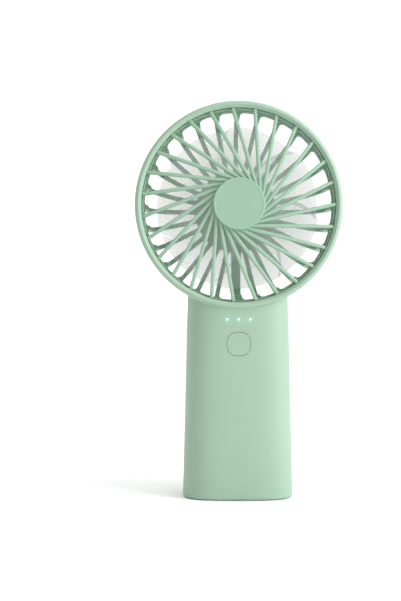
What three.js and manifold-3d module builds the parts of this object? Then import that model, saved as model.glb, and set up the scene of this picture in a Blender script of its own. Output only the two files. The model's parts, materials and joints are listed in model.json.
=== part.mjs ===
// A handheld electric fan: a round caged head with a lamp at its back, on a thick oval handle that
// holds two battery cells. Millimetres, +Z up. The fan blows towards -Y and the lamp shines towards +Y.
// The origin is the middle of the bottom cap's rest face, under the head's axis.

import * as THREE from 'three';
import { mergeVertices } from 'three/addons/utils/BufferGeometryUtils.js';
import Module from 'manifold-3d';

const wasm = await Module();
wasm.setup();

// ---- Clearances ----------------------------------------------------------------------------------
const GAP = 0.3; // between two fixed pieces that meet
const RUNNING_GAP = 0.1; // round a shaft, a bearing or a light guide
const BUTTON_GAP = 0.25; // round the button in its hole

// ---- Handle --------------------------------------------------------------------------------------
const HANDLE_HEIGHT = 98; // from the rest face to the ring's lowest point
const HANDLE_WIDTH_FOOT = 57.5;
const HANDLE_TAPER = 0.05; // width lost for each millimetre of height
const HANDLE_DEPTH = 38.4;
const HANDLE_SQUARENESS = 3.3; // exponent of the superellipse section
const SHELL_WALL = 2;
const FOOT_FILLET = 1;
const CAP_PROUD = 0.35; // the bottom cap stands this far below the shells
const CAP_THICKNESS = 2.2;
const CAP_SKIRT_HEIGHT = 4.6;
const CAP_SKIRT_WALL = 1.2;
const PRY_TAB_WIDTH = 7.4;
const PRY_TAB_X = 2;
const PRY_TAB_REACH = 0.3; // how far the tab shows past the shell

// ---- Ring, grille and rear cage ------------------------------------------------------------------
const RING_RADIUS = 53;
const RING_WALL = 3.2;
const RING_FRONT_Y = -21;
const RING_DEPTH = 10;
const RING_EDGE_RADIUS = 1.5;
const GRILLE_BAND_WALL = 1.4;
const GRILLE_BAND_SET_BACK = 1; // behind the ring's front edge
const GRILLE_BAND_DEPTH = 6.6;
const RIB_COUNT = 27;
const RIB_WIDTH = 1.8;
const RIB_DEPTH = 2.6;
const RIB_OFFSET = 11; // each rib's line passes this far beside the axis
const RIB_START_ANGLE = -3.2; // degrees, clockwise from the top seen from the front
const GRILLE_RISE = 4.2; // how far the grille bulges forward at its middle
const GRILLE_HUB_DEPTH = 3;
const HUB_CAP_RADIUS = 13.2;
const HUB_CAP_THICKNESS = 1.8;
const HUB_CAP_OVERHANG = 0.5;
const HUB_PEG_RADIUS = 3;
const HUB_PEG_LENGTH = 1.8;
const CAGE_FIN_PLACES = 28; // one of them holds the spine
const CAGE_FIN_WIDTH = 2.2;
const CAGE_FIN_DEPTH = 3.4;
const CAGE_STEP = 2.8; // the cage is this much smaller than the ring
const CAGE_SHOULDER_RADIUS = 20;
const CAGE_BACK_Y = 27;
const CAGE_BAND_WALL = 2.8;
const CAGE_BAND_DEPTH = 2.5;
const CAGE_SPIGOT_DEPTH = 2;
const SADDLE_GAP = 0.4; // between the cage and the top of the handle
const SPINE_WIDTH = 5;
const SPINE_DEPTH = 4.4;
const SPINE_WALL = 1.2;
const SPINE_COVER_THICKNESS = 0.8;

// ---- Lamp in the back of the head ----------------------------------------------------------------
const LAMP_LENS_RADIUS = 18.9;
const LAMP_LENS_THICKNESS = 1.3;
const LAMP_LENS_PROUD = 0.9;
const LAMP_CUP_WALL = 1.2;
const LAMP_CUP_RIM = 1.6; // the cup reaches this far past the cage's back
const LAMP_CUP_DEPTH = 15.6;
const LAMP_CUP_LIP = 1.3; // the cup's lip rests on the cage's collar
const COLLAR_WALL = 1.6;
const COLLAR_DEPTH = 5;
const LAMP_FLOOR_THICKNESS = 2;
const LAMP_REFLECTOR_DEPTH = 3;
const LAMP_REFLECTOR_WALL = 0.8;
const LAMP_BOARD_THICKNESS = 0.8;
const LAMP_LED_COUNT = 4;
const LAMP_LED_CIRCLE = 7.5;
const LAMP_LED_SIZE = 3.5;
const LAMP_LED_HEIGHT = 0.9;

// ---- Impeller and motor --------------------------------------------------------------------------
const IMPELLER_RADIUS = 42.6;
const IMPELLER_MIDDLE_Y = 3.6;
const BLADE_COUNT = 7;
const BLADE_PITCH_HEIGHT = 11; // axial height from a blade's leading edge to its trailing edge
const BLADE_THICKNESS = 1.2;
const BLADE_COVER = 0.97; // share of the circle that the blades cover
const BLADE_SWEEP = 20; // degrees, from root to tip
const IMPELLER_HUB_RADIUS = 12.9;
const IMPELLER_HUB_WALL = 1.1;
const IMPELLER_HUB_FRONT_Y = -4;
const IMPELLER_HUB_LENGTH = 13.4;
const ROTOR_CAN_WALL = 0.7;
const MAGNET_THICKNESS = 1.4;
const MAGNET_LENGTH = 9;
const AIR_GAP = 0.4;
const SHAFT_RADIUS = 1;
const BEARING_RADIUS = 2.5;
const BEARING_LENGTH = 2.5;
const MOTOR_TUBE_WALL = 0.6;
const MOTOR_FLANGE_RADIUS = 9;
const MOTOR_FLANGE_THICKNESS = 1.8;
const MOTOR_SCREW_CIRCLE = 6.4;
const STATOR_POLES = 6;
const STATOR_LENGTH = 7;
const STATOR_NECK_WIDTH = 1.8;
const COIL_WALL = 1;

// ---- Button, boards, socket and cells ------------------------------------------------------------
const BUTTON_BELOW_RING = 18;
const BUTTON_WIDTH = 12.3;
const BUTTON_HEIGHT = 12.1;
const BUTTON_CORNER = 4.8;
const BUTTON_TRAVEL = 0.5;
const BUTTON_FLANGE = 0.9;
const INDICATORS_BELOW_RING = 5.4;
const INDICATOR_SPACING = 5.93;
const INDICATOR_RADIUS = 0.75;
const USB_BELOW_RING = 5;
const USB_WIDTH = 8.94;
const USB_HEIGHT = 3.26;
const USB_LENGTH = 7.3;
const USB_SHEET = 0.35;
const BOARD_THICKNESS = 1;
const MAIN_BOARD_STANDOFF = 6.4; // from the front wall to the main board
const MAIN_BOARD_WIDTH = 24.5;
const SWITCH_SIZE = 6;
const SWITCH_HEIGHT = 2.6;
const PLUNGER_RADIUS = 1.7;
const CELL_RADIUS = 9.2;
const CELL_LENGTH = 65;
const CELL_FLOOR_Z = 6;
const CELL_Y = 0.5;
const LINK_THICKNESS = 0.3;
const TRAY_WALL = 1.8;
const LANYARD_HOLE_RADIUS = 1.25;
const LANYARD_HOLE_SPACING = 6.4;
const LANYARD_HOLE_Z = 6.7;
const LEAD_RADIUS = 0.8;
const SCREW_RADIUS = 0.8;
const SCREW_HEAD_RADIUS = 1.6;
const SCREW_HEAD_HEIGHT = 1;

// ---- Worked-out places ---------------------------------------------------------------------------
const HEAD_Z = HANDLE_HEIGHT + RING_RADIUS;
const RING_BORE = RING_RADIUS - RING_WALL;
const RING_BACK_Y = RING_FRONT_Y + RING_DEPTH;
const CAGE_RADIUS = RING_RADIUS - CAGE_STEP;
const SHOULDER_Y = CAGE_BACK_Y - CAGE_SHOULDER_RADIUS;
const SADDLE_RADIUS = CAGE_RADIUS + SADDLE_GAP;
const FRONT_WALL_Y = -HANDLE_DEPTH / 2;
const FRONT_INSIDE_Y = FRONT_WALL_Y + SHELL_WALL;
const REAR_WALL_Y = HANDLE_DEPTH / 2;
const REAR_INSIDE_Y = REAR_WALL_Y - SHELL_WALL;
const BUTTON_Z = HANDLE_HEIGHT - BUTTON_BELOW_RING;
const INDICATORS_Z = HANDLE_HEIGHT - INDICATORS_BELOW_RING;
const USB_Z = HANDLE_HEIGHT - USB_BELOW_RING;
const BOARD_FRONT_Y = FRONT_INSIDE_Y + MAIN_BOARD_STANDOFF;
const CUP_RADIUS = LAMP_LENS_RADIUS + GAP + LAMP_CUP_WALL;
const COLLAR_RADIUS = CUP_RADIUS + GAP + COLLAR_WALL;
const CUP_RIM_Y = CAGE_BACK_Y + LAMP_CUP_RIM;
const CUP_FLOOR_Y = CUP_RIM_Y - LAMP_CUP_DEPTH;
const ROTOR_CAN_RADIUS = IMPELLER_HUB_RADIUS - IMPELLER_HUB_WALL - RUNNING_GAP;
const MAGNET_RADIUS = ROTOR_CAN_RADIUS - ROTOR_CAN_WALL - RUNNING_GAP;
const STATOR_RADIUS = MAGNET_RADIUS - MAGNET_THICKNESS - AIR_GAP;
const MOTOR_TUBE_RADIUS = BEARING_RADIUS + RUNNING_GAP + MOTOR_TUBE_WALL;
const ROTOR_FLOOR_Y = IMPELLER_HUB_FRONT_Y + IMPELLER_HUB_WALL;
const MOTOR_FLANGE_Y = CUP_FLOOR_Y - GAP - MOTOR_FLANGE_THICKNESS;
const STATOR_FRONT_Y = ROTOR_FLOOR_Y + 3.6;

const ROUND = 20; // sides of a small round piece
const FINE_ROUND = 48; // sides of the ring
const TURN = 2 * Math.PI;
const radians = THREE.MathUtils.degToRad;

// ---- Solids --------------------------------------------------------------------------------------
function signedVolume(positions, indices) {
  const corners = [new THREE.Vector3(), new THREE.Vector3(), new THREE.Vector3()];
  let total = 0;
  for (let i = 0; i < indices.length; i += 3) {
    corners.forEach((corner, k) => corner.fromArray(positions, 3 * indices[i + k]));
    total += corners[0].dot(corners[1].cross(corners[2])) / 6;
  }
  return total;
}

// Turns a three.js geometry into a solid with merged corners and outward faces.
function solid(geometry) {
  geometry.deleteAttribute('normal');
  geometry.deleteAttribute('uv');
  const merged = mergeVertices(geometry, 1e-4);
  const positions = merged.attributes.position.array;
  const triangles = [];
  for (let i = 0; i < merged.index.count; i += 3) {
    const [a, b, c] = [0, 1, 2].map((k) => merged.index.getX(i + k));
    if (a !== b && b !== c && c !== a) triangles.push(a, b, c);
  }
  if (signedVolume(positions, triangles) < 0) triangles.reverse();
  const mesh = new wasm.Mesh({
    numProp: 3,
    vertProperties: Float32Array.from(positions),
    triVerts: Uint32Array.from(triangles),
  });
  return new wasm.Manifold(mesh);
}

function geometryOf(body) {
  const mesh = body.getMesh();
  const geometry = new THREE.BufferGeometry();
  geometry.setAttribute('position', new THREE.BufferAttribute(Float32Array.from(mesh.vertProperties), 3));
  geometry.setIndex(new THREE.BufferAttribute(Uint32Array.from(mesh.triVerts), 1));
  geometry.computeVertexNormals();
  return geometry;
}

const join = (bodies) => bodies.reduce((whole, body) => whole.add(body));
const cut = (body, tools) => tools.reduce((rest, tool) => rest.subtract(tool), body);

// A block given by its low and high corners.
function block(low, high) {
  const size = high.map((value, axis) => value - low[axis]);
  const geometry = new THREE.BoxGeometry(...size);
  geometry.translate(...low.map((value, axis) => value + size[axis] / 2));
  return solid(geometry);
}

// A closed profile of [radius, y] points turned about the Y axis.
function turned(profile, sides = ROUND) {
  const points = [...profile, profile[0]].map(([radius, y]) => new THREE.Vector2(radius, y));
  return solid(new THREE.LatheGeometry(points, sides));
}

// A ring, or a disc when the inner radius is 0, about the Y axis.
function ring(inner, outer, lowY, highY, sides = ROUND) {
  return turned([[inner, lowY], [outer, lowY], [outer, highY], [inner, highY]], sides);
}

// A pin along Y through (x, z).
const pin = (x, z, radius, lowY, highY, sides = 10) => ring(0, radius, lowY, highY, sides).translate([x, 0, z]);

// A pin along Z through (x, y).
function post(x, y, radius, lowZ, highZ, sides = ROUND) {
  const geometry = new THREE.CylinderGeometry(radius, radius, highZ - lowZ, sides);
  geometry.rotateX(Math.PI / 2);
  geometry.translate(x, y, (lowZ + highZ) / 2);
  return solid(geometry);
}

// Moves a head-frame solid to its place a given angle clockwise from the top, seen from the front.
const clockwise = (body, degrees) => body.rotate([0, degrees - 90, 0]);

function roundedRectangle(width, height, corner) {
  const [x, y] = [width / 2, height / 2];
  const shape = new THREE.Shape();
  shape.moveTo(x, -y + corner);
  shape.absarc(x - corner, y - corner, corner, 0, TURN / 4);
  shape.absarc(-x + corner, y - corner, corner, TURN / 4, TURN / 2);
  shape.absarc(-x + corner, -y + corner, corner, TURN / 2, (3 * TURN) / 4);
  shape.absarc(x - corner, -y + corner, corner, (3 * TURN) / 4, TURN);
  return shape;
}

// A rounded rectangle in X and Z, from lowY to highY.
function roundedPlate(width, height, corner, lowY, highY, z, segments = 3) {
  const shape = roundedRectangle(width, height, corner);
  const options = { depth: highY - lowY, bevelEnabled: false, curveSegments: segments };
  const geometry = new THREE.ExtrudeGeometry(shape, options);
  geometry.rotateX(Math.PI / 2);
  geometry.translate(0, highY, z);
  return solid(geometry);
}

// A round lead along a smooth curve through the given points.
function lead(points, radius, steps) {
  const section = new THREE.Shape();
  section.absarc(0, 0, radius, 0, TURN);
  const path = new THREE.CatmullRomCurve3(points.map((point) => new THREE.Vector3(...point)));
  const options = { steps, extrudePath: path, curveSegments: 4, bevelEnabled: false };
  return solid(new THREE.ExtrudeGeometry(section, options));
}

// ---- Handle shells -------------------------------------------------------------------------------
const handleHalfWidth = (z) => (HANDLE_WIDTH_FOOT - HANDLE_TAPER * z) / 2;

// The handle's tapered superellipse, drawn in by an inset, from lowZ up to highZ.
function handleBlank(inset, lowZ, highZ, fillet = 0) {
  const [a, b] = [handleHalfWidth(0) - inset, HANDLE_DEPTH / 2 - inset];
  const sides = 40;
  const points = Array.from({ length: sides }, (_, i) => {
    const [c, s] = [Math.cos((TURN * i) / sides), Math.sin((TURN * i) / sides)];
    const x = a * Math.sign(c) * Math.abs(c) ** (2 / HANDLE_SQUARENESS);
    const y = b * Math.sign(s) * Math.abs(s) ** (2 / HANDLE_SQUARENESS);
    return new THREE.Vector2(x, y);
  });
  const geometry = new THREE.ExtrudeGeometry(new THREE.Shape(points), {
    depth: highZ - lowZ - 2 * fillet,
    bevelEnabled: fillet > 0,
    bevelThickness: fillet,
    bevelSize: fillet,
    bevelOffset: -fillet,
    bevelSegments: 2,
  });
  geometry.translate(0, 0, lowZ + fillet);
  const corners = geometry.attributes.position;
  for (let i = 0; i < corners.count; i += 1) {
    const halfWidth = handleHalfWidth(corners.getZ(i)) - inset;
    corners.setX(i, (corners.getX(i) * halfWidth) / a);
  }
  return solid(geometry);
}

// A drum along Y round the head's axis, in the handle's frame.
const headDrum = (radius) => ring(0, radius, -60, 60, FINE_ROUND).translate([0, 0, HEAD_Z]);

// The hollow handle with its open foot and the saddle under the cage.
function handleShell() {
  const top = HEAD_Z;
  const outside = handleBlank(0, CAP_PROUD, top, FOOT_FILLET).subtract(headDrum(SADDLE_RADIUS));
  const inside = handleBlank(SHELL_WALL, -1, top).subtract(headDrum(SADDLE_RADIUS + SHELL_WALL));
  return outside.subtract(inside);
}

function ringBody() {
  const edge = RING_EDGE_RADIUS;
  const corner = (centreR, centreY, from) =>
    [0, 1, 2, 3].map((i) => {
      const angle = from + (TURN / 4) * (i / 3);
      return [centreR + edge * Math.cos(angle), centreY + edge * Math.sin(angle)];
    });
  const profile = [
    [RING_BORE, RING_FRONT_Y + edge / 3],
    [RING_BORE + edge / 3, RING_FRONT_Y],
    ...corner(RING_RADIUS - edge, RING_FRONT_Y + edge, -TURN / 4),
    [RING_RADIUS, RING_BACK_Y],
    [RING_BORE, RING_BACK_Y],
  ];
  return turned(profile, FINE_ROUND).translate([0, 0, HEAD_Z]);
}

const boardScrewX = MAIN_BOARD_WIDTH / 2 - 2.8;
const boardScrewPlaces = [
  [-boardScrewX, BUTTON_Z - 6.4],
  [boardScrewX, BUTTON_Z - 6.4],
  [-boardScrewX, INDICATORS_Z + 1.9],
  [boardScrewX, INDICATORS_Z + 1.9],
];
const indicatorXs = [-INDICATOR_SPACING, 0, INDICATOR_SPACING];
const indicatorHole = INDICATOR_RADIUS + RUNNING_GAP;

function frontShell() {
  const bossRadius = SCREW_RADIUS + GAP + 0.9;
  const bosses = boardScrewPlaces.map(([x, z]) =>
    pin(x, z, bossRadius, FRONT_INSIDE_Y - 0.5, BOARD_FRONT_Y - GAP));
  const holes = boardScrewPlaces.map(([x, z]) =>
    pin(x, z, SCREW_RADIUS + GAP, FRONT_INSIDE_Y + 0.6, BOARD_FRONT_Y));
  const half = block([-80, -60, -5], [80, -GAP / 2, HEAD_Z + 80]);
  const buttonHole = roundedPlate(
    BUTTON_WIDTH + 2 * BUTTON_GAP, BUTTON_HEIGHT + 2 * BUTTON_GAP, BUTTON_CORNER + BUTTON_GAP,
    FRONT_WALL_Y - 2, FRONT_INSIDE_Y + 1, BUTTON_Z);
  const lightHoles = indicatorXs.map((x) =>
    pin(x, INDICATORS_Z, indicatorHole, FRONT_WALL_Y - 2, FRONT_INSIDE_Y + 1));
  const bore = ring(0, RING_BORE, RING_FRONT_Y - 2, RING_BACK_Y + 0.01, FINE_ROUND).translate([0, 0, HEAD_Z]);
  const body = handleShell().intersect(half).add(ringBody()).subtract(bore);
  return cut(join([body, ...bosses]), [buttonHole, ...lightHoles, ...holes]);
}

const usbSlot = { width: USB_WIDTH + 2 * GAP, height: USB_HEIGHT + 2 * GAP };
const chargeBoardTopZ = USB_Z - USB_HEIGHT / 2 - GAP;
const railX = 10;

function rearShell() {
  const half = block([-80, GAP / 2, -5], [80, 60, HEAD_Z + 80]);
  const slot = roundedPlate(
    usbSlot.width, usbSlot.height, usbSlot.height / 2 - 0.01, REAR_INSIDE_Y - 1, REAR_WALL_Y + 2, USB_Z);
  const lanyardHoles = [-1, 1].map((side) =>
    pin(side * LANYARD_HOLE_SPACING / 2, LANYARD_HOLE_Z, LANYARD_HOLE_RADIUS, REAR_INSIDE_Y - 1, REAR_WALL_Y + 2));
  const railTopZ = chargeBoardTopZ - BOARD_THICKNESS - GAP;
  const rails = [-1, 1].map((side) =>
    block([side * railX - 1.5, REAR_INSIDE_Y - 9, railTopZ - 1.5], [side * railX + 1.5, REAR_INSIDE_Y + 0.6, railTopZ]));
  const body = handleShell().intersect(half);
  return cut(join([body, ...rails]), [slot, ...lanyardHoles, headLead(LEAD_RADIUS + 0.5)]);
}

function bottomCap() {
  const inset = SHELL_WALL + GAP;
  const plate = handleBlank(inset, 0, CAP_THICKNESS);
  const skirt = handleBlank(inset, 0, CAP_SKIRT_HEIGHT).subtract(
    handleBlank(inset + CAP_SKIRT_WALL, CAP_THICKNESS - 0.5, CAP_SKIRT_HEIGHT + 1));
  const tabTop = CAP_PROUD - 0.05;
  const tab = block(
    [PRY_TAB_X - PRY_TAB_WIDTH / 2, FRONT_WALL_Y - PRY_TAB_REACH, 0],
    [PRY_TAB_X + PRY_TAB_WIDTH / 2, FRONT_INSIDE_Y + 2, tabTop]);
  return join([plate, skirt, tab]);
}

// ---- Front grille --------------------------------------------------------------------------------
const grilleBandRadius = RING_BORE - GAP;
const grilleBandInside = grilleBandRadius - GRILLE_BAND_WALL;
const grilleBandY = RING_FRONT_Y + GRILLE_BAND_SET_BACK;
const grilleHubRadius = HUB_CAP_RADIUS - HUB_CAP_OVERHANG;
const grilleHubY = grilleBandY - GRILLE_RISE;

// One rib: straight seen from the front, gently bowed forward seen from the side.
function grilleRib() {
  const along = (radius) => Math.sqrt(radius ** 2 - RIB_OFFSET ** 2);
  const outer = along(grilleBandInside + GRILLE_BAND_WALL / 2);
  const inner = along(Math.max(grilleHubRadius - 0.6, RIB_OFFSET + 0.2));
  const outerY = grilleBandY + 0.4;
  const bow = (inner + outer) / 2 + 4;
  const shape = new THREE.Shape();
  shape.moveTo(outer, outerY);
  shape.quadraticCurveTo(bow, grilleHubY, inner, grilleHubY + 0.3);
  shape.lineTo(inner, grilleHubY + 0.3 + RIB_DEPTH);
  shape.quadraticCurveTo(bow, grilleHubY + RIB_DEPTH, outer, outerY + RIB_DEPTH + 1);
  shape.closePath();
  const options = { depth: RIB_WIDTH, bevelEnabled: false, curveSegments: 3 };
  const geometry = new THREE.ExtrudeGeometry(shape, options);
  geometry.translate(0, 0, -RIB_WIDTH / 2 - RIB_OFFSET);
  return solid(geometry);
}

function frontGrille() {
  const band = ring(
    grilleBandInside, grilleBandRadius, grilleBandY, grilleBandY + GRILLE_BAND_DEPTH, FINE_ROUND);
  const hub = ring(HUB_PEG_RADIUS + GAP, grilleHubRadius, grilleHubY, grilleHubY + GRILLE_HUB_DEPTH, 32);
  const rib = grilleRib();
  const ribs = Array.from({ length: RIB_COUNT }, (_, i) =>
    clockwise(rib, RIB_START_ANGLE + (360 / RIB_COUNT) * i));
  return join([band, hub, ...ribs]);
}

function hubCap() {
  const backY = grilleHubY - GAP;
  const frontY = backY - HUB_CAP_THICKNESS;
  const profile = [
    [0, frontY],
    [HUB_CAP_RADIUS - 0.5, frontY],
    [HUB_CAP_RADIUS, frontY + 0.5],
    [HUB_CAP_RADIUS, backY],
    [HUB_PEG_RADIUS, backY],
    [HUB_PEG_RADIUS, backY + HUB_PEG_LENGTH],
    [0, backY + HUB_PEG_LENGTH],
  ];
  return turned(profile, 32);
}

// ---- Rear cage -----------------------------------------------------------------------------------
// The outline of the cage's side, drawn in by a depth, from startY back to the hub.
function cageOutline(depth, startY, endRadius) {
  const radius = CAGE_SHOULDER_RADIUS - depth;
  const steps = 4;
  const arc = Array.from({ length: steps + 1 }, (_, i) => {
    const angle = ((TURN / 4) * i) / steps;
    return [shoulderCentreR + radius * Math.cos(angle), SHOULDER_Y + radius * Math.sin(angle)];
  });
  return [[CAGE_RADIUS - depth, startY], ...arc, [endRadius, CAGE_BACK_Y - depth]];
}

// A curved bar that follows the cage between two depths.
function cageBar(outerDepth, innerDepth, width, startY, endRadius) {
  const outline = [
    ...cageOutline(outerDepth, startY, endRadius),
    ...cageOutline(innerDepth, startY, endRadius).reverse(),
  ];
  const shape = new THREE.Shape(outline.map(([radius, y]) => new THREE.Vector2(radius, y)));
  const geometry = new THREE.ExtrudeGeometry(shape, { depth: width, bevelEnabled: false });
  geometry.translate(0, 0, -width / 2);
  return solid(geometry);
}

const cageBandY = RING_BACK_Y + GAP;
const spineCoverDepth = SPINE_DEPTH - SPINE_COVER_THICKNESS - 0.2;
const leadDepth = SPINE_WALL + GAP + LEAD_RADIUS;
const leadEntryY = 4;
const shoulderCentreR = CAGE_RADIUS - CAGE_SHOULDER_RADIUS;
const partWayToCup = (share) => CUP_RADIUS + (shoulderCentreR - CUP_RADIUS) * share;
const gussetR = partWayToCup(0.7);
const leadCupY = CUP_FLOOR_Y + LAMP_FLOOR_THICKNESS + 3;

// The leads of the motor and the lamp: from the main board up the spine into the lamp cup.
function headLead(radius) {
  const down = (r) => HEAD_Z - r;
  const channelR = CAGE_RADIUS - leadDepth;
  const arcR = CAGE_SHOULDER_RADIUS - leadDepth;
  const arc = [0, 1, 2, 3, 4].map((i) => {
    const angle = (TURN / 4) * (0.1 + 0.2 * i);
    return [0, SHOULDER_Y + arcR * Math.sin(angle), down(shoulderCentreR + arcR * Math.cos(angle))];
  });
  const boardBackY = BOARD_FRONT_Y + BOARD_THICKNESS + GAP;
  const points = [
    [0, boardBackY + 0.4, USB_Z - 6.4],
    [0, boardBackY + 2.4, USB_Z - 5.6],
    [0, boardBackY + 5.4, USB_Z + 1.4],
    [0, leadEntryY - 2.2, down(SADDLE_RADIUS + SHELL_WALL + 2.2)],
    [0, leadEntryY - 0.4, down(SADDLE_RADIUS + 0.6)],
    [0, leadEntryY + 1.6, down(channelR + 0.5)],
    ...arc,
    [0, CAGE_BACK_Y - leadDepth, down(partWayToCup(0.9))],
    [0, CAGE_BACK_Y - leadDepth - 1.6, down(partWayToCup(0.5))],
    [0, leadCupY + 1, down(partWayToCup(0.1))],
    [0, leadCupY, down(CUP_RADIUS - 4)],
  ];
  return lead(points, radius, 24);
}

function lampCup() {
  const outer = CUP_RADIUS;
  const inner = CUP_RADIUS - LAMP_CUP_WALL;
  const ledge = inner - 2;
  const ledgeY = lampBoardY - GAP;
  const bore = MOTOR_TUBE_RADIUS;
  const profile = [
    [bore, CUP_FLOOR_Y],
    [outer, CUP_FLOOR_Y],
    [outer, CAGE_BACK_Y + GAP],
    [outer + LAMP_CUP_LIP, CAGE_BACK_Y + GAP],
    [outer + LAMP_CUP_LIP, CUP_RIM_Y - 0.4],
    [outer + LAMP_CUP_LIP - 0.4, CUP_RIM_Y],
    [inner, CUP_RIM_Y],
    [inner, ledgeY],
    [ledge, ledgeY],
    [ledge, CUP_FLOOR_Y + LAMP_FLOOR_THICKNESS],
    [bore, CUP_FLOOR_Y + LAMP_FLOOR_THICKNESS],
  ];
  const screwHoles = motorScrewAngles.map((angle) =>
    pin(...onCircle(MOTOR_SCREW_CIRCLE, angle), SCREW_RADIUS + GAP, CUP_FLOOR_Y - 1, CUP_FLOOR_Y + 4));
  return cut(turned(profile, 28), [...screwHoles, leadDrill()]);
}

// The hole for the leads, in the head's frame.
const leadDrill = () => headLead(LEAD_RADIUS + 0.5).translate([0, 0, -HEAD_Z]);

const motorScrewAngles = [0, 120, 240];
const onCircle = (radius, degrees) => [radius * Math.sin(radians(degrees)), radius * Math.cos(radians(degrees))];

function rearCage() {
  const band = ring(CAGE_RADIUS - CAGE_BAND_WALL, CAGE_RADIUS, cageBandY, cageBandY + CAGE_BAND_DEPTH, FINE_ROUND);
  const spigotY = grilleBandY + GRILLE_BAND_DEPTH + GAP;
  const spigot = ring(
    CAGE_RADIUS - CAGE_BAND_WALL, grilleBandRadius, spigotY, cageBandY + 0.5, FINE_ROUND);
  const collar = ring(CUP_RADIUS + GAP, COLLAR_RADIUS, CAGE_BACK_Y - COLLAR_DEPTH, CAGE_BACK_Y, 28);
  const fin = cageBar(0, CAGE_FIN_DEPTH, CAGE_FIN_WIDTH, cageBandY + 0.5, COLLAR_RADIUS - 0.6);
  const pitch = 360 / CAGE_FIN_PLACES;
  const fins = Array.from({ length: CAGE_FIN_PLACES - 1 }, (_, i) => clockwise(fin, 180 + pitch * (i + 1)));
  return join([band, spigot, collar, ...fins, clockwise(spine(), 180)]).subtract(leadDrill());
}

// The wide bar under the cage, with a channel for the leads on its inner side.
function spine() {
  const bar = cageBar(0, SPINE_DEPTH, SPINE_WIDTH, cageBandY + 0.5, COLLAR_RADIUS - 0.6);
  const gusset = block(
    [CUP_RADIUS + GAP, leadCupY - 2.6, -SPINE_WIDTH / 2],
    [gussetR, CAGE_BACK_Y - SPINE_DEPTH + 0.5, SPINE_WIDTH / 2]);
  const channelWidth = SPINE_WIDTH - 2 * SPINE_WALL;
  const channel = cageBar(SPINE_WALL, SPINE_DEPTH + 0.5, channelWidth, leadEntryY - 3, gussetR + 0.2);
  return bar.add(gusset).subtract(channel);
}

function spineCover() {
  const width = SPINE_WIDTH - 2 * SPINE_WALL - 2 * GAP;
  const bar = cageBar(
    spineCoverDepth, spineCoverDepth + SPINE_COVER_THICKNESS, width, leadEntryY - 3 + GAP, shoulderCentreR - 0.5);
  return clockwise(bar, 180);
}

// ---- Lamp ----------------------------------------------------------------------------------------
const lensBackY = CUP_RIM_Y + LAMP_LENS_PROUD - LAMP_LENS_THICKNESS;
const reflectorY = lensBackY - GAP - LAMP_REFLECTOR_DEPTH;
const lampBoardY = reflectorY - GAP - LAMP_BOARD_THICKNESS;

function lampLens() {
  const frontY = lensBackY + LAMP_LENS_THICKNESS;
  const profile = [
    [0, lensBackY],
    [LAMP_LENS_RADIUS, lensBackY],
    [LAMP_LENS_RADIUS, frontY - 0.6],
    [LAMP_LENS_RADIUS - 1.2, frontY],
    [0, frontY],
  ];
  return turned(profile, 28);
}

function lampReflector() {
  const wide = LAMP_LENS_RADIUS - 0.3;
  const narrow = LAMP_LED_CIRCLE + LAMP_LED_SIZE;
  const topY = reflectorY + LAMP_REFLECTOR_DEPTH;
  const profile = [
    [narrow, reflectorY],
    [narrow + LAMP_REFLECTOR_WALL, reflectorY],
    [wide - 1, topY - LAMP_REFLECTOR_WALL],
    [wide, topY - LAMP_REFLECTOR_WALL],
    [wide, topY],
    [wide - 1.6, topY],
  ];
  return turned(profile, 32);
}

const lampBoard = () =>
  ring(0, LAMP_LENS_RADIUS - 0.4, lampBoardY, lampBoardY + LAMP_BOARD_THICKNESS, 28);

function lampLed(index) {
  const low = lampBoardY + LAMP_BOARD_THICKNESS + GAP;
  const half = LAMP_LED_SIZE / 2;
  const chip = block([LAMP_LED_CIRCLE - half, low, -half], [LAMP_LED_CIRCLE + half, low + LAMP_LED_HEIGHT, half]);
  return clockwise(chip, (360 / LAMP_LED_COUNT) * index);
}

// ---- Impeller and motor --------------------------------------------------------------------------
// A blade starts as a flat bar and is wrapped round the axis as a swept helix.
function blade() {
  const rootRadius = IMPELLER_HUB_RADIUS - IMPELLER_HUB_WALL / 2;
  const span = IMPELLER_RADIUS - rootRadius;
  const geometry = new THREE.BoxGeometry(span, BLADE_THICKNESS, 1, 3, 1, 6);
  const spread = ((360 * BLADE_COVER) / BLADE_COUNT) * (Math.PI / 180);
  const corners = geometry.attributes.position;
  for (let i = 0; i < corners.count; i += 1) {
    const outward = corners.getX(i) / span + 0.5;
    const radius = rootRadius + span * outward;
    const across = corners.getZ(i);
    const thinning = 1 - 0.9 * Math.abs(across);
    const angle = across * spread * (0.86 + 0.14 * outward) + radians(BLADE_SWEEP) * outward ** 2;
    const y = IMPELLER_MIDDLE_Y + across * BLADE_PITCH_HEIGHT + corners.getY(i) * thinning;
    corners.setXYZ(i, radius * Math.sin(angle), y, radius * Math.cos(angle));
  }
  return solid(geometry);
}

function impeller() {
  const inside = IMPELLER_HUB_RADIUS - IMPELLER_HUB_WALL;
  const bore = SHAFT_RADIUS + RUNNING_GAP;
  const boss = bore + 1.4;
  const profile = [
    [bore, IMPELLER_HUB_FRONT_Y],
    [IMPELLER_HUB_RADIUS - 1, IMPELLER_HUB_FRONT_Y],
    [IMPELLER_HUB_RADIUS, IMPELLER_HUB_FRONT_Y + 1],
    [IMPELLER_HUB_RADIUS, IMPELLER_HUB_FRONT_Y + IMPELLER_HUB_LENGTH],
    [inside, IMPELLER_HUB_FRONT_Y + IMPELLER_HUB_LENGTH],
    [inside, ROTOR_FLOOR_Y],
    [boss, ROTOR_FLOOR_Y],
    [boss, ROTOR_FLOOR_Y + 2],
    [bore, ROTOR_FLOOR_Y + 2],
  ];
  const blades = Array.from({ length: BLADE_COUNT }, (_, i) => blade().rotate([0, (360 / BLADE_COUNT) * i, 0]));
  return join([turned(profile, 28), ...blades]);
}

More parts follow.
